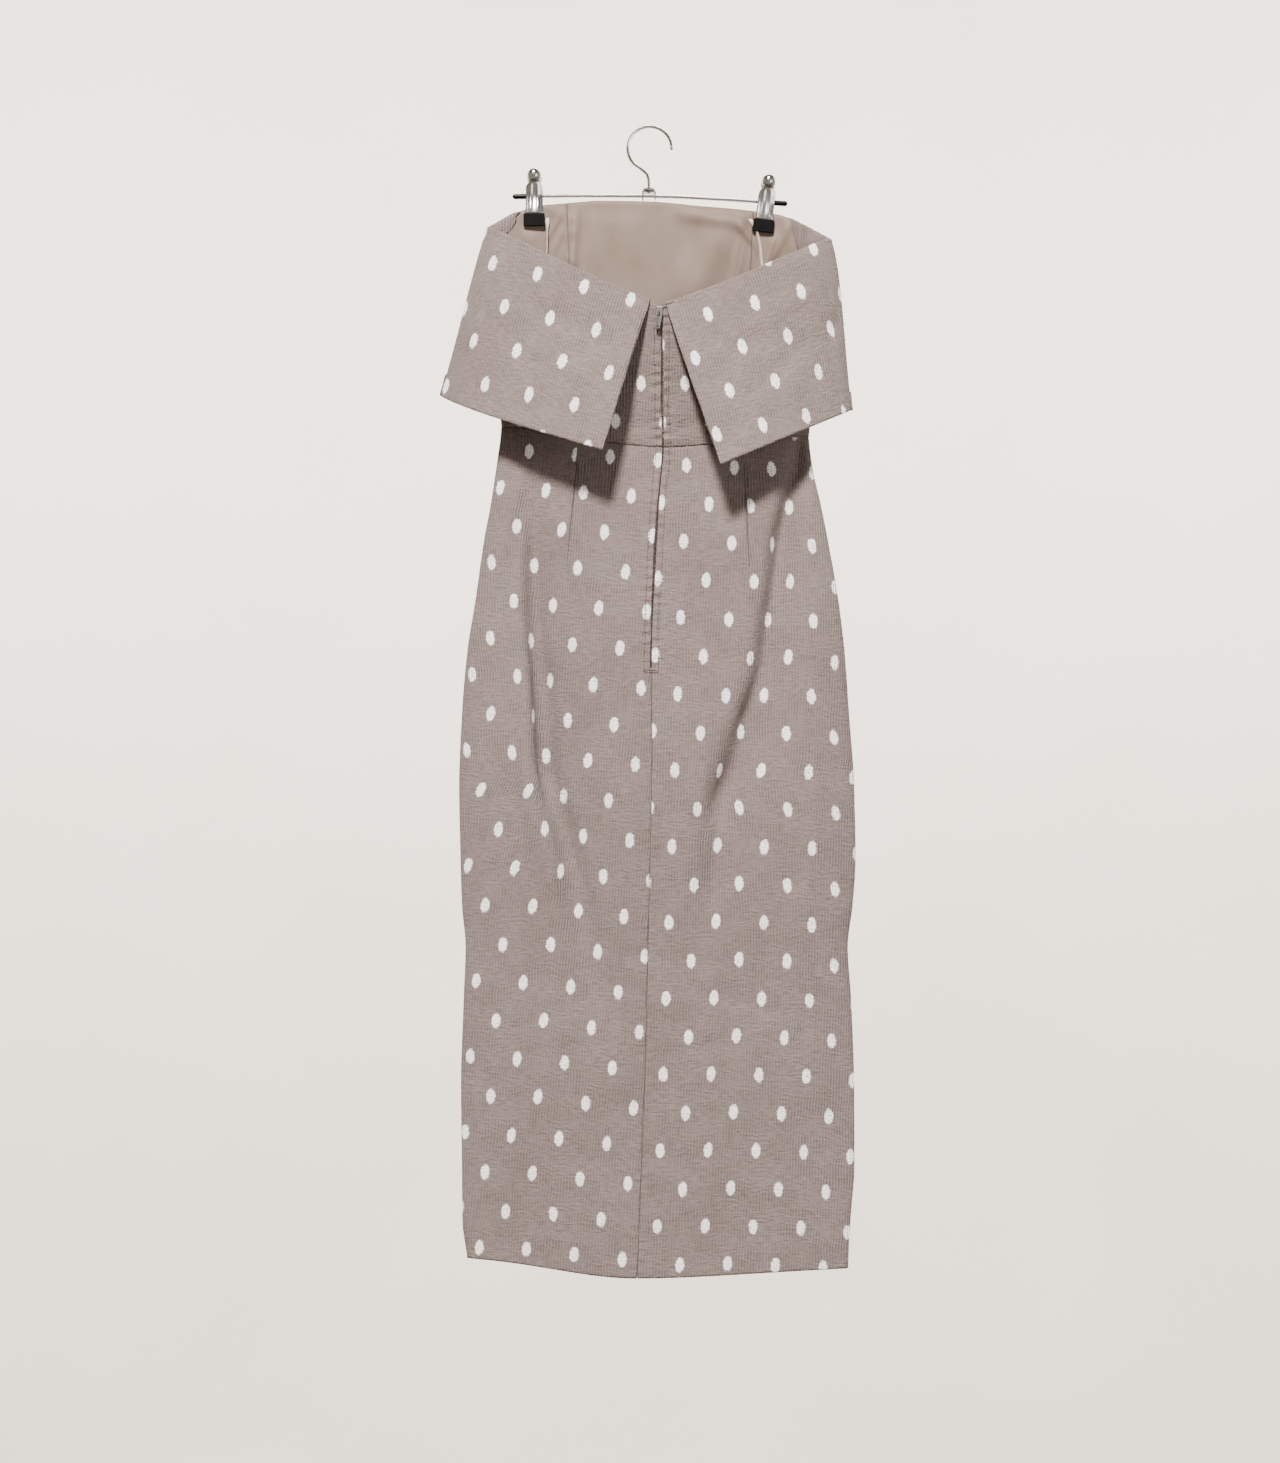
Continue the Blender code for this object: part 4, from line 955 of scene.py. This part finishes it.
def spotted_weave(name, ground, shade, spot, strength):
    """Crinkled weave with fine ribs down it and pale woven spots. The ribs and the grain catch the
    light as a dry matt cloth does, and shade is painted into the crinkle's hollows and the ribs'
    grooves; strength fades the spots for the weave's reverse."""
    material, tree, shader = start_material(name, roughness=0.9, sheen=0.08, specular=0.2)
    shader.inputs["Sheen Roughness"].default_value = 0.5
    weave = add(tree, "UVMap", uv_map="weave")
    # What is uneven, with its size across and down the cloth in millimetres: the rag of the spots'
    # edges, the ground's threads in a spot, the ribs' wandering and the patches where they fade,
    # the short crosswise crinkles, the fine grain, and the dye over a hand's width
    uneven = {}
    for part, across, down, settings in (
            ("rag", 3.8, 2.4, {"Roughness": 0.6}),
            ("speck", 2.6, 1.1, {"Roughness": 0.6}),
            ("wander", 45, 29, {}),
            ("patch", 38, 25, {"Detail": 3.0}),
            ("crinkle", 9.1, 2.4, {"Detail": 3.0, "Roughness": 0.6}),
            ("grain", 1.1, 0.9, {"Roughness": 0.6}),
            ("dye", 110, 140, {"Detail": 3.0})):
        place = add(tree, "VectorMath", {0: weave, 1: per_metre(across, down, METRE)},
                    operation="MULTIPLY")
        uneven[part] = add(tree, "TexNoise", {"Vector": place, "Scale": 1.0, **settings},
                           out="Color" if part == "rag" else 0)
    # Spots with a slightly ragged edge, as the figuring threads end on single ribs
    rag = add(tree, "VectorMath", {0: uneven["rag"], 1: (0.5, 0.5, 0.5)}, operation="SUBTRACT")
    place = add(tree, "VectorMath",
                {0: rag, 1: (SPOT_RAG * MM, SPOT_RAG * MM, 0.0), 2: weave},
                operation="MULTIPLY_ADD")
    across = SPOT_COLUMNS / SPOT_WIDE
    down = SPOT_STEP / SPOT_HIGH
    columns = []
    for offset in (0.5, 1.0):
        cell = add(tree, "VectorMath",
                   {0: place, 1: per_metre(SPOT_COLUMNS, SPOT_STEP, METRE),
                    2: (offset, offset, 0.0)}, operation="MULTIPLY_ADD")
        cell = add(tree, "VectorMath", {0: cell}, operation="FRACTION")
        cell = add(tree, "VectorMath",
                   {0: cell, 1: (2 * across, 2 * down, 0.0), 2: (-across, -down, 0.0)},
                   operation="MULTIPLY_ADD")
        far = add(tree, "VectorMath", {0: cell}, out="Value", operation="LENGTH")
        columns.append(add(tree, "MapRange", {"Value": far, "From Min": 1.14, "From Max": 0.9}))
    spots = add(tree, "Math", {0: columns[0], 1: columns[1]}, operation="MAXIMUM")
    worn = add(tree, "MapRange",
               {"Value": uneven["speck"], "From Min": 0.36, "From Max": 0.52,
                "To Min": 0.35 * strength, "To Max": strength})
    spots = add(tree, "Math", {0: spots, 1: worn}, operation="MULTIPLY")
    # The ribs down the cloth, which come and go in patches
    run = add(tree, "SeparateXYZ", {0: weave})
    run = add(tree, "Math", {0: run, 1: 2 * math.pi / (RIB_APART * MM)}, operation="MULTIPLY")
    run = add(tree, "Math", {0: uneven["wander"], 1: RIB_WANDER, 2: run}, operation="MULTIPLY_ADD")
    rib = add(tree, "Math", {0: run}, operation="SINE")
    patch = add(tree, "MapRange",
                {"Value": uneven["patch"], "From Min": 0.38, "From Max": 0.6, "To Min": 0.3})
    rib = add(tree, "Math", {0: rib, 1: patch}, operation="MULTIPLY")
    relief = add(tree, "Math", {0: rib, 1: 0.45}, operation="MULTIPLY")
    for part, share in ((uneven["crinkle"], 1.6), (uneven["grain"], 0.5), (spots, 0.25)):
        relief = add(tree, "Math", {0: part, 1: share, 2: relief}, operation="MULTIPLY_ADD")
    bump = add(tree, "Bump", {"Height": relief, "Distance": 1.2 * MM, "Strength": 0.9})
    # Painted shade: the hollows of the crinkle and the grooves between ribs are painted darker, as
    # shade falls there; flecks of the grain are darker, partly thread tone and partly painted shade
    depth = 0.0
    for part, low, high, share in ((uneven["crinkle"], 0.36, 0.62, 0.35), (rib, -1.0, 1.0, 0.45),
                                   (uneven["grain"], 0.35, 0.65, 0.2)):
        part = add(tree, "MapRange",
                   {"Value": part, "From Min": low, "From Max": high, "To Max": share})
        depth = add(tree, "Math", {0: depth, 1: part}, operation="ADD")
    dye = add(tree, "MapRange",
              {"Value": uneven["dye"], "From Min": 0.3, "From Max": 0.7, "To Max": 0.32})
    # The ground with painted shade in its hollows and grooves, the dye's random patches over it,
    # and the spots on top
    colour = shade
    for share, over in ((depth, ground), (dye, shade), (spots, spot)):
        colour = add(tree, "Mix", {0: share, 6: colour, 7: over}, out=2, data_type="RGBA")
    tree.links.new(colour, shader.inputs["Base Color"])
    tree.links.new(bump, shader.inputs["Normal"])
    return material


def satin(name, ground, shade):
    """Smooth lining: a long soft sheen across fine threads."""
    material, tree, shader = start_material(name, roughness=0.62, sheen=0.1, specular=0.22)
    weave = add(tree, "UVMap", uv_map="weave")
    broad = add(tree, "VectorMath", {0: weave, 1: per_metre(33, 55, METRE)}, operation="MULTIPLY")
    broad = add(tree, "TexNoise", {"Vector": broad, "Scale": 1.0, "Detail": 3.0})
    grain = add(tree, "VectorMath", {0: weave, 1: per_metre(0.7, 2.0, METRE)}, operation="MULTIPLY")
    grain = add(tree, "TexNoise", {"Vector": grain, "Scale": 1.0})
    mottle = add(tree, "MapRange", {"Value": broad, "From Min": 0.3, "From Max": 0.7})
    colour = add(tree, "Mix", {0: mottle, 6: ground, 7: shade}, out=2, data_type="RGBA")
    relief = add(tree, "Math", {0: broad, 1: 0.4}, operation="MULTIPLY")
    relief = add(tree, "Math", {0: grain, 1: 0.05, 2: relief}, operation="MULTIPLY_ADD")
    bump = add(tree, "Bump", {"Height": relief, "Distance": 1.2 * MM, "Strength": 0.3})
    tree.links.new(colour, shader.inputs["Base Color"])
    tree.links.new(bump, shader.inputs["Normal"])
    return material


def thread(name, ground, shade):
    """Narrow goods and sewing thread: fine crosswise ribs and twist, with a faint silky light."""
    material, tree, shader = start_material(name, roughness=0.7, sheen=0.2, specular=0.3)
    place = add(tree, "TexCoord", out="Object")
    rib = add(tree, "VectorMath", {0: place, 1: per_metre(1.3, 1.3, 1.3)}, operation="MULTIPLY")
    # A wave texture of scale 1 repeats every 2 pi / 20
    rib = add(tree, "TexWave", {"Vector": rib, "Scale": math.pi / 10, "Distortion": 0.6},
              out="Fac", wave_type="BANDS", bands_direction="Z")
    grain = add(tree, "TexNoise", {"Vector": place, "Scale": per_metre(1.4)[0]})
    mixed = add(tree, "Math", {0: rib, 1: grain}, operation="MULTIPLY")
    lit = add(tree, "MapRange", {"Value": mixed, "From Min": 0.05, "From Max": 0.5})
    colour = add(tree, "Mix", {0: lit, 6: shade, 7: ground}, out=2, data_type="RGBA")
    bump = add(tree, "Bump", {"Height": mixed, "Distance": 0.4 * MM, "Strength": 0.6})
    tree.links.new(colour, shader.inputs["Base Color"])
    tree.links.new(bump, shader.inputs["Normal"])
    return material


def metal(name, ground, shade, rough):
    """Plated steel: fine drawing lines and a few duller, fingered patches."""
    material, tree, shader = start_material(name, roughness=rough, metallic=1.0)
    place = add(tree, "TexCoord", out="Object")
    smear = add(tree, "TexNoise",
                {"Vector": place, "Scale": per_metre(17)[0], "Detail": 4.0, "Roughness": 0.6})
    scratch = add(tree, "TexNoise", {"Vector": place, "Scale": per_metre(1.1)[0], "Roughness": 0.7})
    tarnish = add(tree, "MapRange", {"Value": smear, "From Min": 0.42, "From Max": 0.72})
    colour = add(tree, "Mix", {0: tarnish, 6: ground, 7: shade}, out=2, data_type="RGBA")
    dull = add(tree, "MapRange", {"Value": smear, "From Min": 0.35, "From Max": 0.75,
                                  "To Min": rough, "To Max": rough + 0.16})
    dull = add(tree, "Math", {0: scratch, 1: 0.08, 2: dull}, operation="MULTIPLY_ADD")
    bump = add(tree, "Bump", {"Height": scratch, "Distance": 0.1 * MM, "Strength": 0.3})
    tree.links.new(colour, shader.inputs["Base Color"])
    tree.links.new(dull, shader.inputs["Roughness"])
    tree.links.new(bump, shader.inputs["Normal"])
    return material


def rubber(name, ground, shade):
    """Moulded black rubber with a light bloom of dust."""
    material, tree, shader = start_material(name, roughness=0.36, specular=0.07)
    place = add(tree, "TexCoord", out="Object")
    bloom = add(tree, "TexNoise",
                {"Vector": place, "Scale": per_metre(7)[0], "Detail": 4.0, "Roughness": 0.65})
    grain = add(tree, "TexNoise", {"Vector": place, "Scale": per_metre(0.7)[0]})
    dust = add(tree, "MapRange", {"Value": bloom, "From Min": 0.45, "From Max": 0.8})
    colour = add(tree, "Mix", {0: dust, 6: ground, 7: shade}, out=2, data_type="RGBA")
    bump = add(tree, "Bump", {"Height": grain, "Distance": 0.2 * MM, "Strength": 0.4})
    tree.links.new(colour, shader.inputs["Base Color"])
    tree.links.new(bump, shader.inputs["Normal"])
    return material


def studio_paper(name, ground, shade):
    """Pale studio paper, barely mottled."""
    material, tree, shader = start_material(name, roughness=0.95, specular=0.1)
    place = add(tree, "TexCoord", out="Object")
    mottle = add(tree, "TexNoise", {"Vector": place, "Scale": per_metre(770)[0], "Detail": 3.0})
    colour = add(tree, "Mix", {0: mottle, 6: ground, 7: shade}, out=2, data_type="RGBA")
    tree.links.new(colour, shader.inputs["Base Color"])
    return material


# Small pieces

def join(name, shapes, material, nodes=()):
    """One mesh from several bmesh shapes in millimetres."""
    whole = bmesh.new()
    for shape in shapes:
        part = bpy.data.meshes.new("part")
        shape.to_mesh(part)
        shape.free()
        whole.from_mesh(part)
        bpy.data.meshes.remove(part)
    bmesh.ops.recalc_face_normals(whole, faces=whole.faces[:])
    bmesh.ops.scale(whole, vec=(MM, MM, MM), verts=whole.verts[:])
    mesh = bpy.data.meshes.new(name)
    whole.to_mesh(mesh)
    whole.free()
    mesh.shade_smooth()
    mesh.materials.append(material)
    add_piece(name, mesh, nodes)


def skin(rings):
    """A closed skin over rings of points, from a grid that is moved onto them and joined."""
    points = np.concatenate((rings, rings[:, :1]), axis=1)
    rows, columns = points.shape[:2]
    shape = bmesh.new()
    bmesh.ops.create_grid(shape, x_segments=columns - 1, y_segments=rows - 1, size=0.5)
    for vert in shape.verts:
        row = round((vert.co.y + 0.5) * (rows - 1))
        vert.co = points[row, round((vert.co.x + 0.5) * (columns - 1))]
    bmesh.ops.remove_doubles(shape, verts=shape.verts[:], dist=1e-4)
    bmesh.ops.holes_fill(shape, edges=shape.edges[:], sides=0)
    return shape


def tube(points, radius, sides=8):
    """A round cord or wire through points."""
    points = np.asarray(points, float)
    along = unit(np.gradient(points, axis=0))
    swing = np.linspace(0, 2 * math.pi, sides, endpoint=False)[:, None]
    side = unit(np.cross(along[0], (0.3, 0.9, 0.2)))
    rings = []
    for place, heading in zip(points, along):
        side = unit(side - heading * side.dot(heading))
        third = np.cross(heading, side)
        rings.append(place + radius * (np.cos(swing) * side + np.sin(swing) * third))
    return skin(np.array(rings))


def near_points(*panels):
    """A search tree over panels' outer faces, as seen from the back, with places and normals."""
    places = np.concatenate([FACES[panel][0].reshape(-1, 3) for panel in panels])
    normals = np.concatenate([FACES[panel][1].reshape(-1, 3) for panel in panels])
    tree = KDTree(len(places))
    for k, (x, y, z) in enumerate(places.tolist()):
        tree.insert((x, 0.02 * y, z), k)
    tree.balance()
    return tree, places, normals


def laid_on(surface, x, level, lift):
    """The point of a shell's outer face nearest to a place seen from the back, lifted off it."""
    tree, places, normals = surface
    _, k, _ = tree.find((x, -1.0, level))
    place = places[k] + normals[k] * lift
    return np.array((x, place[1], level))


def laid_cord(surface, places, lift, radius, sides=6):
    """A dark cord of painted shade along places seen from the back, lying on a shell."""
    return tube([laid_on(surface, x, level, lift) for x, level in places], radius, sides)


def stitch_row(faces, path, length=2.6, pitch=3.9, radius=0.5, lift=0.2):
    """Short sunk stitches along a path of places seen from the back."""
    path = np.asarray(path, float)
    step = np.hypot(*np.diff(path, axis=0).T)
    run = np.concatenate(((0.0,), np.cumsum(step)))
    shapes = []
    for start in np.arange(0.0, run[-1] - length, pitch):
        ends = [(np.interp(start + off, run, path[:, 0]), np.interp(start + off, run, path[:, 1]))
                for off in (0.0, length * 0.5, length)]
        spots = [laid_on(faces, x, z, lift - 0.25 * (k != 1)) for k, (x, z) in enumerate(ends)]
        shapes.append(tube(spots, radius, 6))
    return shapes


# A jaw's sections, down from the grip: width, how far its inner and outer faces stand off the
# middle, how flat its crown is (lower is flatter) and how deep its flutes are
JAW = table(
    "height width inner outer round flute",
    (28.3, 0.6, 8.9, 10.2, 1.0, 0),
    (27.9, 5.2, 8.2, 12.0, 1.0, 0),
    (26.8, 9.4, 7.5, 13.4, 1.0, 0),
    (25.0, 12.7, 6.8, 14.4, 1.0, 0),
    (22.8, 14.8, 6.4, 14.9, 1.0, 0),
    (20.8, 15.6, 6.1, 15.0, 1.0, 0),
    (18.6, 15.0, 6.0, 14.6, 1.0, 0),
    (16.6, 13.2, 5.9, 13.2, 0.9, 0),
    (15.0, 11.6, 5.7, 10.6, 0.7, 0),
    (13.6, 12.0, 5.4, 8.8, 0.5, 0.2),
    (12.0, 14.6, 5.0, 7.9, 0.35, 0.8),
    (10.0, 17.2, 4.4, 7.3, 0.3, 1.0),
    (7.0, 18.3, 3.9, 6.9, 0.28, 1.0),
    (0.0, 18.4, 3.6, 6.5, 0.28, 0.9),
    (-8.0, 18.4, 3.8, 6.7, 0.28, 0.8),
    (-14.0, 18.6, 4.2, 7.2, 0.28, 0.6),
    (-18.0, 19.2, 4.9, 8.0, 0.3, 0.2),
    (-20.0, 19.4, 5.2, 8.4, 0.3, 0.0),
)
# Two flutes down each blade, placed and sized in halves of its width
FLUTE_HIGH = 1.0
FLUTE_APART = 0.42
FLUTE_WIDE = 0.2
# Each clip: place across on the bar, lean, and how far off the middle its two pads grip
CLIPS = {"left": (-126.0, 0.0, 5.9, 6.6), "right": (126.5, 0.12, 4.3, 7.3)}
BAR = table("across level", (-150, -74.8), (-75, -74.0), (0, -74.3), (75, -77.6), (150, -82.6))
JAW_FOOT = -20.0
JAW_SIDES = 40


def bar_level(across):
    return float(read(BAR, "level", across, "across"))


def make_jaw(name, place, side, grip, material):
    """A pressed jaw: a hollow-looking round grip, a waist, and a fluted blade down to the pad."""
    across, lean = place
    heights = np.concatenate((np.linspace(28.3, 13.6, 34), np.linspace(13.2, JAW_FOOT, 30)))
    rings = []
    for height in heights:
        at = {column: float(read(JAW, column, height, "height")) for column in JAW}
        near = mix(at["inner"], grip + 0.4, float(smooth_step(height / JAW_FOOT)))
        thick = at["outer"] - at["inner"]
        swing = np.linspace(0.0, math.pi, JAW_SIDES)
        u = -np.cos(swing)
        bulge = np.sin(swing) ** at["round"]
        flutes = sum(np.exp(-(((u - k * FLUTE_APART) / FLUTE_WIDE) ** 2)) for k in (-1, 1))
        out = near + thick * bulge + at["flute"] * FLUTE_HIGH * flutes * bulge
        x = u * at["width"] / 2
        y = side * np.concatenate((out, (near, near)))
        x = np.concatenate((x, (x[-1] * 0.6, x[0] * 0.6)))
        rings.append(point(across + x * math.cos(lean) + height * math.sin(lean), y,
                           bar_level(across) - x * math.sin(lean) + height * math.cos(lean)))
    join(name, [skin(np.array(rings))], material, (name[7:],))


SPRING_TURNS = 8.5
SPRING_LENGTH = 10.0
SPRING_RADIUS = 2.55
SPRING_WIRE = 0.55


def make_spring(name, across, material):
    """The clip's coil, close-wound round the bar."""
    swing = np.linspace(0.0, SPRING_TURNS * 2 * math.pi, 190)
    x = across + np.linspace(-SPRING_LENGTH / 2, SPRING_LENGTH / 2, len(swing))
    level = np.array([bar_level(v) for v in x])
    coil = point(x, SPRING_RADIUS * np.cos(swing), level + SPRING_RADIUS * np.sin(swing))
    join(name, [tube(coil, SPRING_WIRE)], material, (name[7:],))


# The teeth run from below the slider to the zip's end, by turns to the right and to the left
TEETH_TOP = ZIP_TOP - 13.0
TEETH_FOOT = ZIP_BOTTOM + 4.0
TEETH_PITCH = 1.7
TEETH_STAGGER = 0.35
TEETH_SUNK = 1.2
TOOTH = (1.9, 0.85, 0.95)


def make_zip_teeth(surface, material):
    """Nylon teeth in the gap between the two edges."""
    shapes = []
    for k, level in enumerate(np.arange(TEETH_TOP, TEETH_FOOT, -TEETH_PITCH)):
        shape = bmesh.new()
        bmesh.ops.create_cube(shape, size=1.0)
        bmesh.ops.scale(shape, vec=TOOTH, verts=shape.verts[:])
        across = read(CENTRE_BACK, "across", level)
        across = across + (TEETH_STAGGER if k % 2 else -TEETH_STAGGER)
        centre = laid_on(surface, across, level, -TEETH_SUNK)
        bmesh.ops.translate(shape, vec=centre, verts=shape.verts[:])
        shapes.append(shape)
    join("zip_teeth", shapes, material)


# The two stitched rows, off the seam, which wander a little, and the doubled rows at their end
ZIP_ROWS = (-7.4, 7.6)
ZIP_ROWS_TOP = -222.0
ZIP_ROWS_FOOT = -588.0
ROW_WANDER = 0.35
END_ROWS = (-592.0, -594.2)


def make_stitches(faces, material):
    """The two rows beside the zip, and the short doubled rows that close its end."""
    shapes = []
    levels = np.linspace(ZIP_ROWS_TOP, ZIP_ROWS_FOOT, 60)
    centre = read(CENTRE_BACK, "across", levels)
    for side in ZIP_ROWS:
        wander = ROW_WANDER * np.sin(levels / 19.0 + side)
        shapes += stitch_row(faces, np.stack((centre + side + wander, levels), axis=-1))
    for level in END_ROWS:
        shapes += stitch_row(faces, ((-6.4, level), (8.2, level + 0.6)), 2.2, 2.5)
    join("zip_stitches", shapes, material)


# The line that closes the zip's end, where the box stitch draws the cloth in; a cord of painted
# shade lies along it
ZIP_END = ((-6.6, -588.0), (-6.5, -593.4), (1.0, -594.6), (8.4, -593.8), (8.6, -587.5))


def make_seam_lines(surface, material):
    """Dark cords of painted shade in the bottom of the darts' seams and of the seam below the zip,
    and along the line that closes the zip's end.
    """
    shapes = []
    for top_x, top, foot_x, foot, take in DARTS:
        levels = np.linspace(top, foot, 40)
        across = mix(top_x, foot_x, (levels - top) / (foot - top))
        shapes.append(laid_cord(surface, zip(across, levels), -0.15, 0.5))
    levels = np.linspace(ZIP_BOTTOM - 3, HEM["back"] + 2, 200)
    across = read(CENTRE_BACK, "across", levels)
    shapes.append(laid_cord(surface, zip(across, levels), 0.0, 0.4))
    shapes.append(laid_cord(surface, ZIP_END, 0.1, 0.5))
    join("painted_seam_shade", shapes, material)


# The thread eye's run over the cuff's top, and how thick it is
EYE_THREAD = 0.42
EYE = ((12.6, -200.6), (14.5, -199.4), (17.5, -198.8), (21.0, -198.0), (24.6, -196.2),
       (28.4, -194.6))


def make_thread_eye(faces, material):
    """The thread eye that lies over the cuff's top beside the zip, a little off it at its loop."""
    points = [laid_on(faces, x, level, 0.5) for x, level in EYE]
    points[0][1] -= 0.4
    join("thread_eye", [tube(points, EYE_THREAD)], material)


RIBBONS = {
    "left": table("level across", (-99, -111.6), (-120, -111.8), (-151, -113.5), (-200, -122),
                  (-260, -138), (-322, -150)),
    "right": table("level across", (-100, 109.0), (-112, 115.0), (-130, 119.5), (-153, 122),
                   (-200, 132), (-260, 148), (-326, 160)),
}
RIBBON_WIDTH = 4.4
RIBBON_CLOTH = 0.5
# Degrees that each ribbon is turned edge-on below its clip, and the lengths over which it turns
# and turns back
RIBBON_TWIST = {"left": 74.0, "right": 56.0}
TWIST_IN = 14.0
TWIST_HELD = 120.0
TWIST_OUT = 60.0


def make_ribbon(name, surface, material):
    """A satin loop that hangs nearly edge-on in front of the lining."""
    side = name.rsplit("_", 1)[1]
    run = RIBBONS[side]
    levels = np.linspace(run["level"].max(), run["level"].min(), 60)
    across = read(run, "across", levels)
    points = []
    reach = RIBBON_WIDTH / 2
    for level, x in zip(levels, across):
        below = levels[0] - level
        swing = math.radians(RIBBON_TWIST[side]) * float(smooth_step(below / TWIST_IN))
        swing *= float(1 - smooth_step((below - TWIST_HELD) / TWIST_OUT))
        middle = laid_on(surface, x, level, -(LINING_CLOTH + GAP + 0.4))
        middle = middle - (0, math.sin(swing) * reach, 0)
        row = [middle + (w * math.cos(swing) * reach, -w * math.sin(swing) * reach, 0)
               for w in np.linspace(-1, 1, 5)]
        points.append(row)
    points = np.array(points)
    weft, warp = lay_flat(points, 2)
    piece = add_piece("cloth_" + name, grid_mesh(name, points, weft, warp), (name,))
    piece.data.materials.append(material)
    wall = piece.modifiers.new("cloth", "SOLIDIFY")
    wall.thickness = RIBBON_CLOTH * MM
    wall.offset = 0.0


# The studio and the order of work

def make_floor(material):
    """A wide bowl of paper, flat below the dress, that rises out of every view."""
    profile = ((0.0, -3.9), (4.4, -3.9), (5.6, -3.75), (6.4, -3.3), (6.85, -2.5), (7.0, -1.4),
               (7.0, 4.2))
    shape = bmesh.new()
    corners = [shape.verts.new((x, 0.0, z)) for x, z in profile]
    for first, second in zip(corners, corners[1:]):
        shape.edges.new((first, second))
    bmesh.ops.spin(shape, geom=shape.verts[:] + shape.edges[:], cent=(0, 0, 0), axis=(0, 0, 1),
                   angle=2 * math.pi, steps=96, use_merge=True)
    bmesh.ops.remove_doubles(shape, verts=shape.verts[:], dist=1e-5)
    bmesh.ops.recalc_face_normals(shape, faces=shape.faces[:])
    mesh = bpy.data.meshes.new("floor")
    shape.to_mesh(mesh)
    shape.free()
    mesh.shade_smooth()
    mesh.materials.append(material)
    floor = bpy.data.objects.new("floor", mesh)
    bpy.context.collection.objects.link(floor)


def make_world(colour, strength):
    world = bpy.data.worlds.new("studio")
    world.use_nodes = True
    background = world.node_tree.nodes["Background"]
    background.inputs["Color"].default_value = colour
    background.inputs["Strength"].default_value = strength
    bpy.context.scene.world = world


# Square lights: place and aim in metres, width, watts and colour. The key is high on the left, as
# the shadows under the cuff ask; the two on the background keep the paper pale.
LIGHTS = (
    ("key", (-0.8, -4.3, 3.6), (0.0, 0.0, -0.6), 0.8, 1400.0, "#fffaf6"),
    ("fill", (2.4, -2.6, -0.4), (0.0, 0.0, -0.7), 2.0, 60.0, "#f4f4f6"),
    ("front", (0.4, 3.4, 2.2), (0.0, 0.0, -0.6), 1.2, 100.0, "#fffaf6"),
    ("background left", (-2.4, 1.6, 1.2), (-0.6, 7.0, 1.2), 2.0, 2600.0, "#fffaf3"),
    ("background right", (2.4, 1.6, 1.2), (0.6, 7.0, 1.2), 2.0, 2600.0, "#fffaf3"),
)

weave = spotted_weave("crinkled spotted weave", linear("#877a76"), linear("#554845"),
                      linear("#fbf8f3"), 1.0)
weave_back = spotted_weave("reverse of the spotted weave", linear("#7a6f6b"), linear("#5e5450"),
                           linear("#d8d0c8"), 0.6)
lining_satin = satin("lining satin", linear("#6f6058"), linear("#645549"))
ribbon = thread("pale satin ribbon", linear("#cbb9b1"), linear("#a08d84"))
tape = thread("zip tape", linear("#6f5f58"), linear("#4a3d38"))
teeth = thread("nylon zip teeth", linear("#4a3c36"), linear("#2a211d"))
# A dark thread material that stands for painted shade in the seams' grooves
seam_shadow = thread("painted shade deep in a seam", linear("#3a302c"), linear("#221b18"))
sewing = thread("sewing thread", linear("#63564f"), linear("#3a302b"))
chrome = metal("chromed steel", linear("#c4c4c2"), linear("#8d8d8c"), 0.1)
zip_metal = metal("plated zip metal", linear("#a09b96"), linear("#5c5854"), 0.2)
black = rubber("black rubber", linear("#040404"), linear("#0c0b0a"))
paper = studio_paper("studio paper", linear("#8c8883"), linear("#85807a"))

make_dress(weave, weave_back, lining_satin)
back = near_points("skirt_back_left", "skirt_back_right", "bodice_back_left", "bodice_back_right")
make_stitches(back, sewing)
make_seam_lines(back, seam_shadow)
make_zip_teeth(back, teeth)
make_thread_eye(near_points("cuff_back_right"), tape)
linings = near_points("lining_side_left", "lining_centre", "lining_side_right")
for name in ("hanging_loop_left", "hanging_loop_right"):
    make_ribbon(name, linings, ribbon)
for name, (across, lean, back_grip, front_grip) in CLIPS.items():
    make_jaw(f"shaped_clip_{name}_jaw_back", (across, lean), -1, back_grip, chrome)
    make_jaw(f"shaped_clip_{name}_jaw_front", (across, lean), 1, front_grip, chrome)
    make_spring(f"coiled_clip_{name}_spring", across, chrome)

# Nodes that keep their own form
PLAIN = {
    chrome: ("hanger_hook", "hook_tip", "hanger_nut", "hanger_bracket", "hanger_bar"),
    black: ("bar_cap_left", "bar_cap_right", "clip_left_pad_back", "clip_left_pad_front",
            "clip_right_pad_back", "clip_right_pad_front"),
    zip_metal: ("zip_slider", "zip_pull_tab"),
    tape: ("zip_tape",),
}
for material, names in PLAIN.items():
    for name in names:
        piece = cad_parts[name]
        piece.data.materials.clear()
        piece.data.materials.append(material)

make_floor(paper)
make_world(linear("#f6f4f2"), 0.2)
for name, place, aim, size, power, colour in LIGHTS:
    make_light(name, place, aim, size, power, linear(colour))
make_camera()
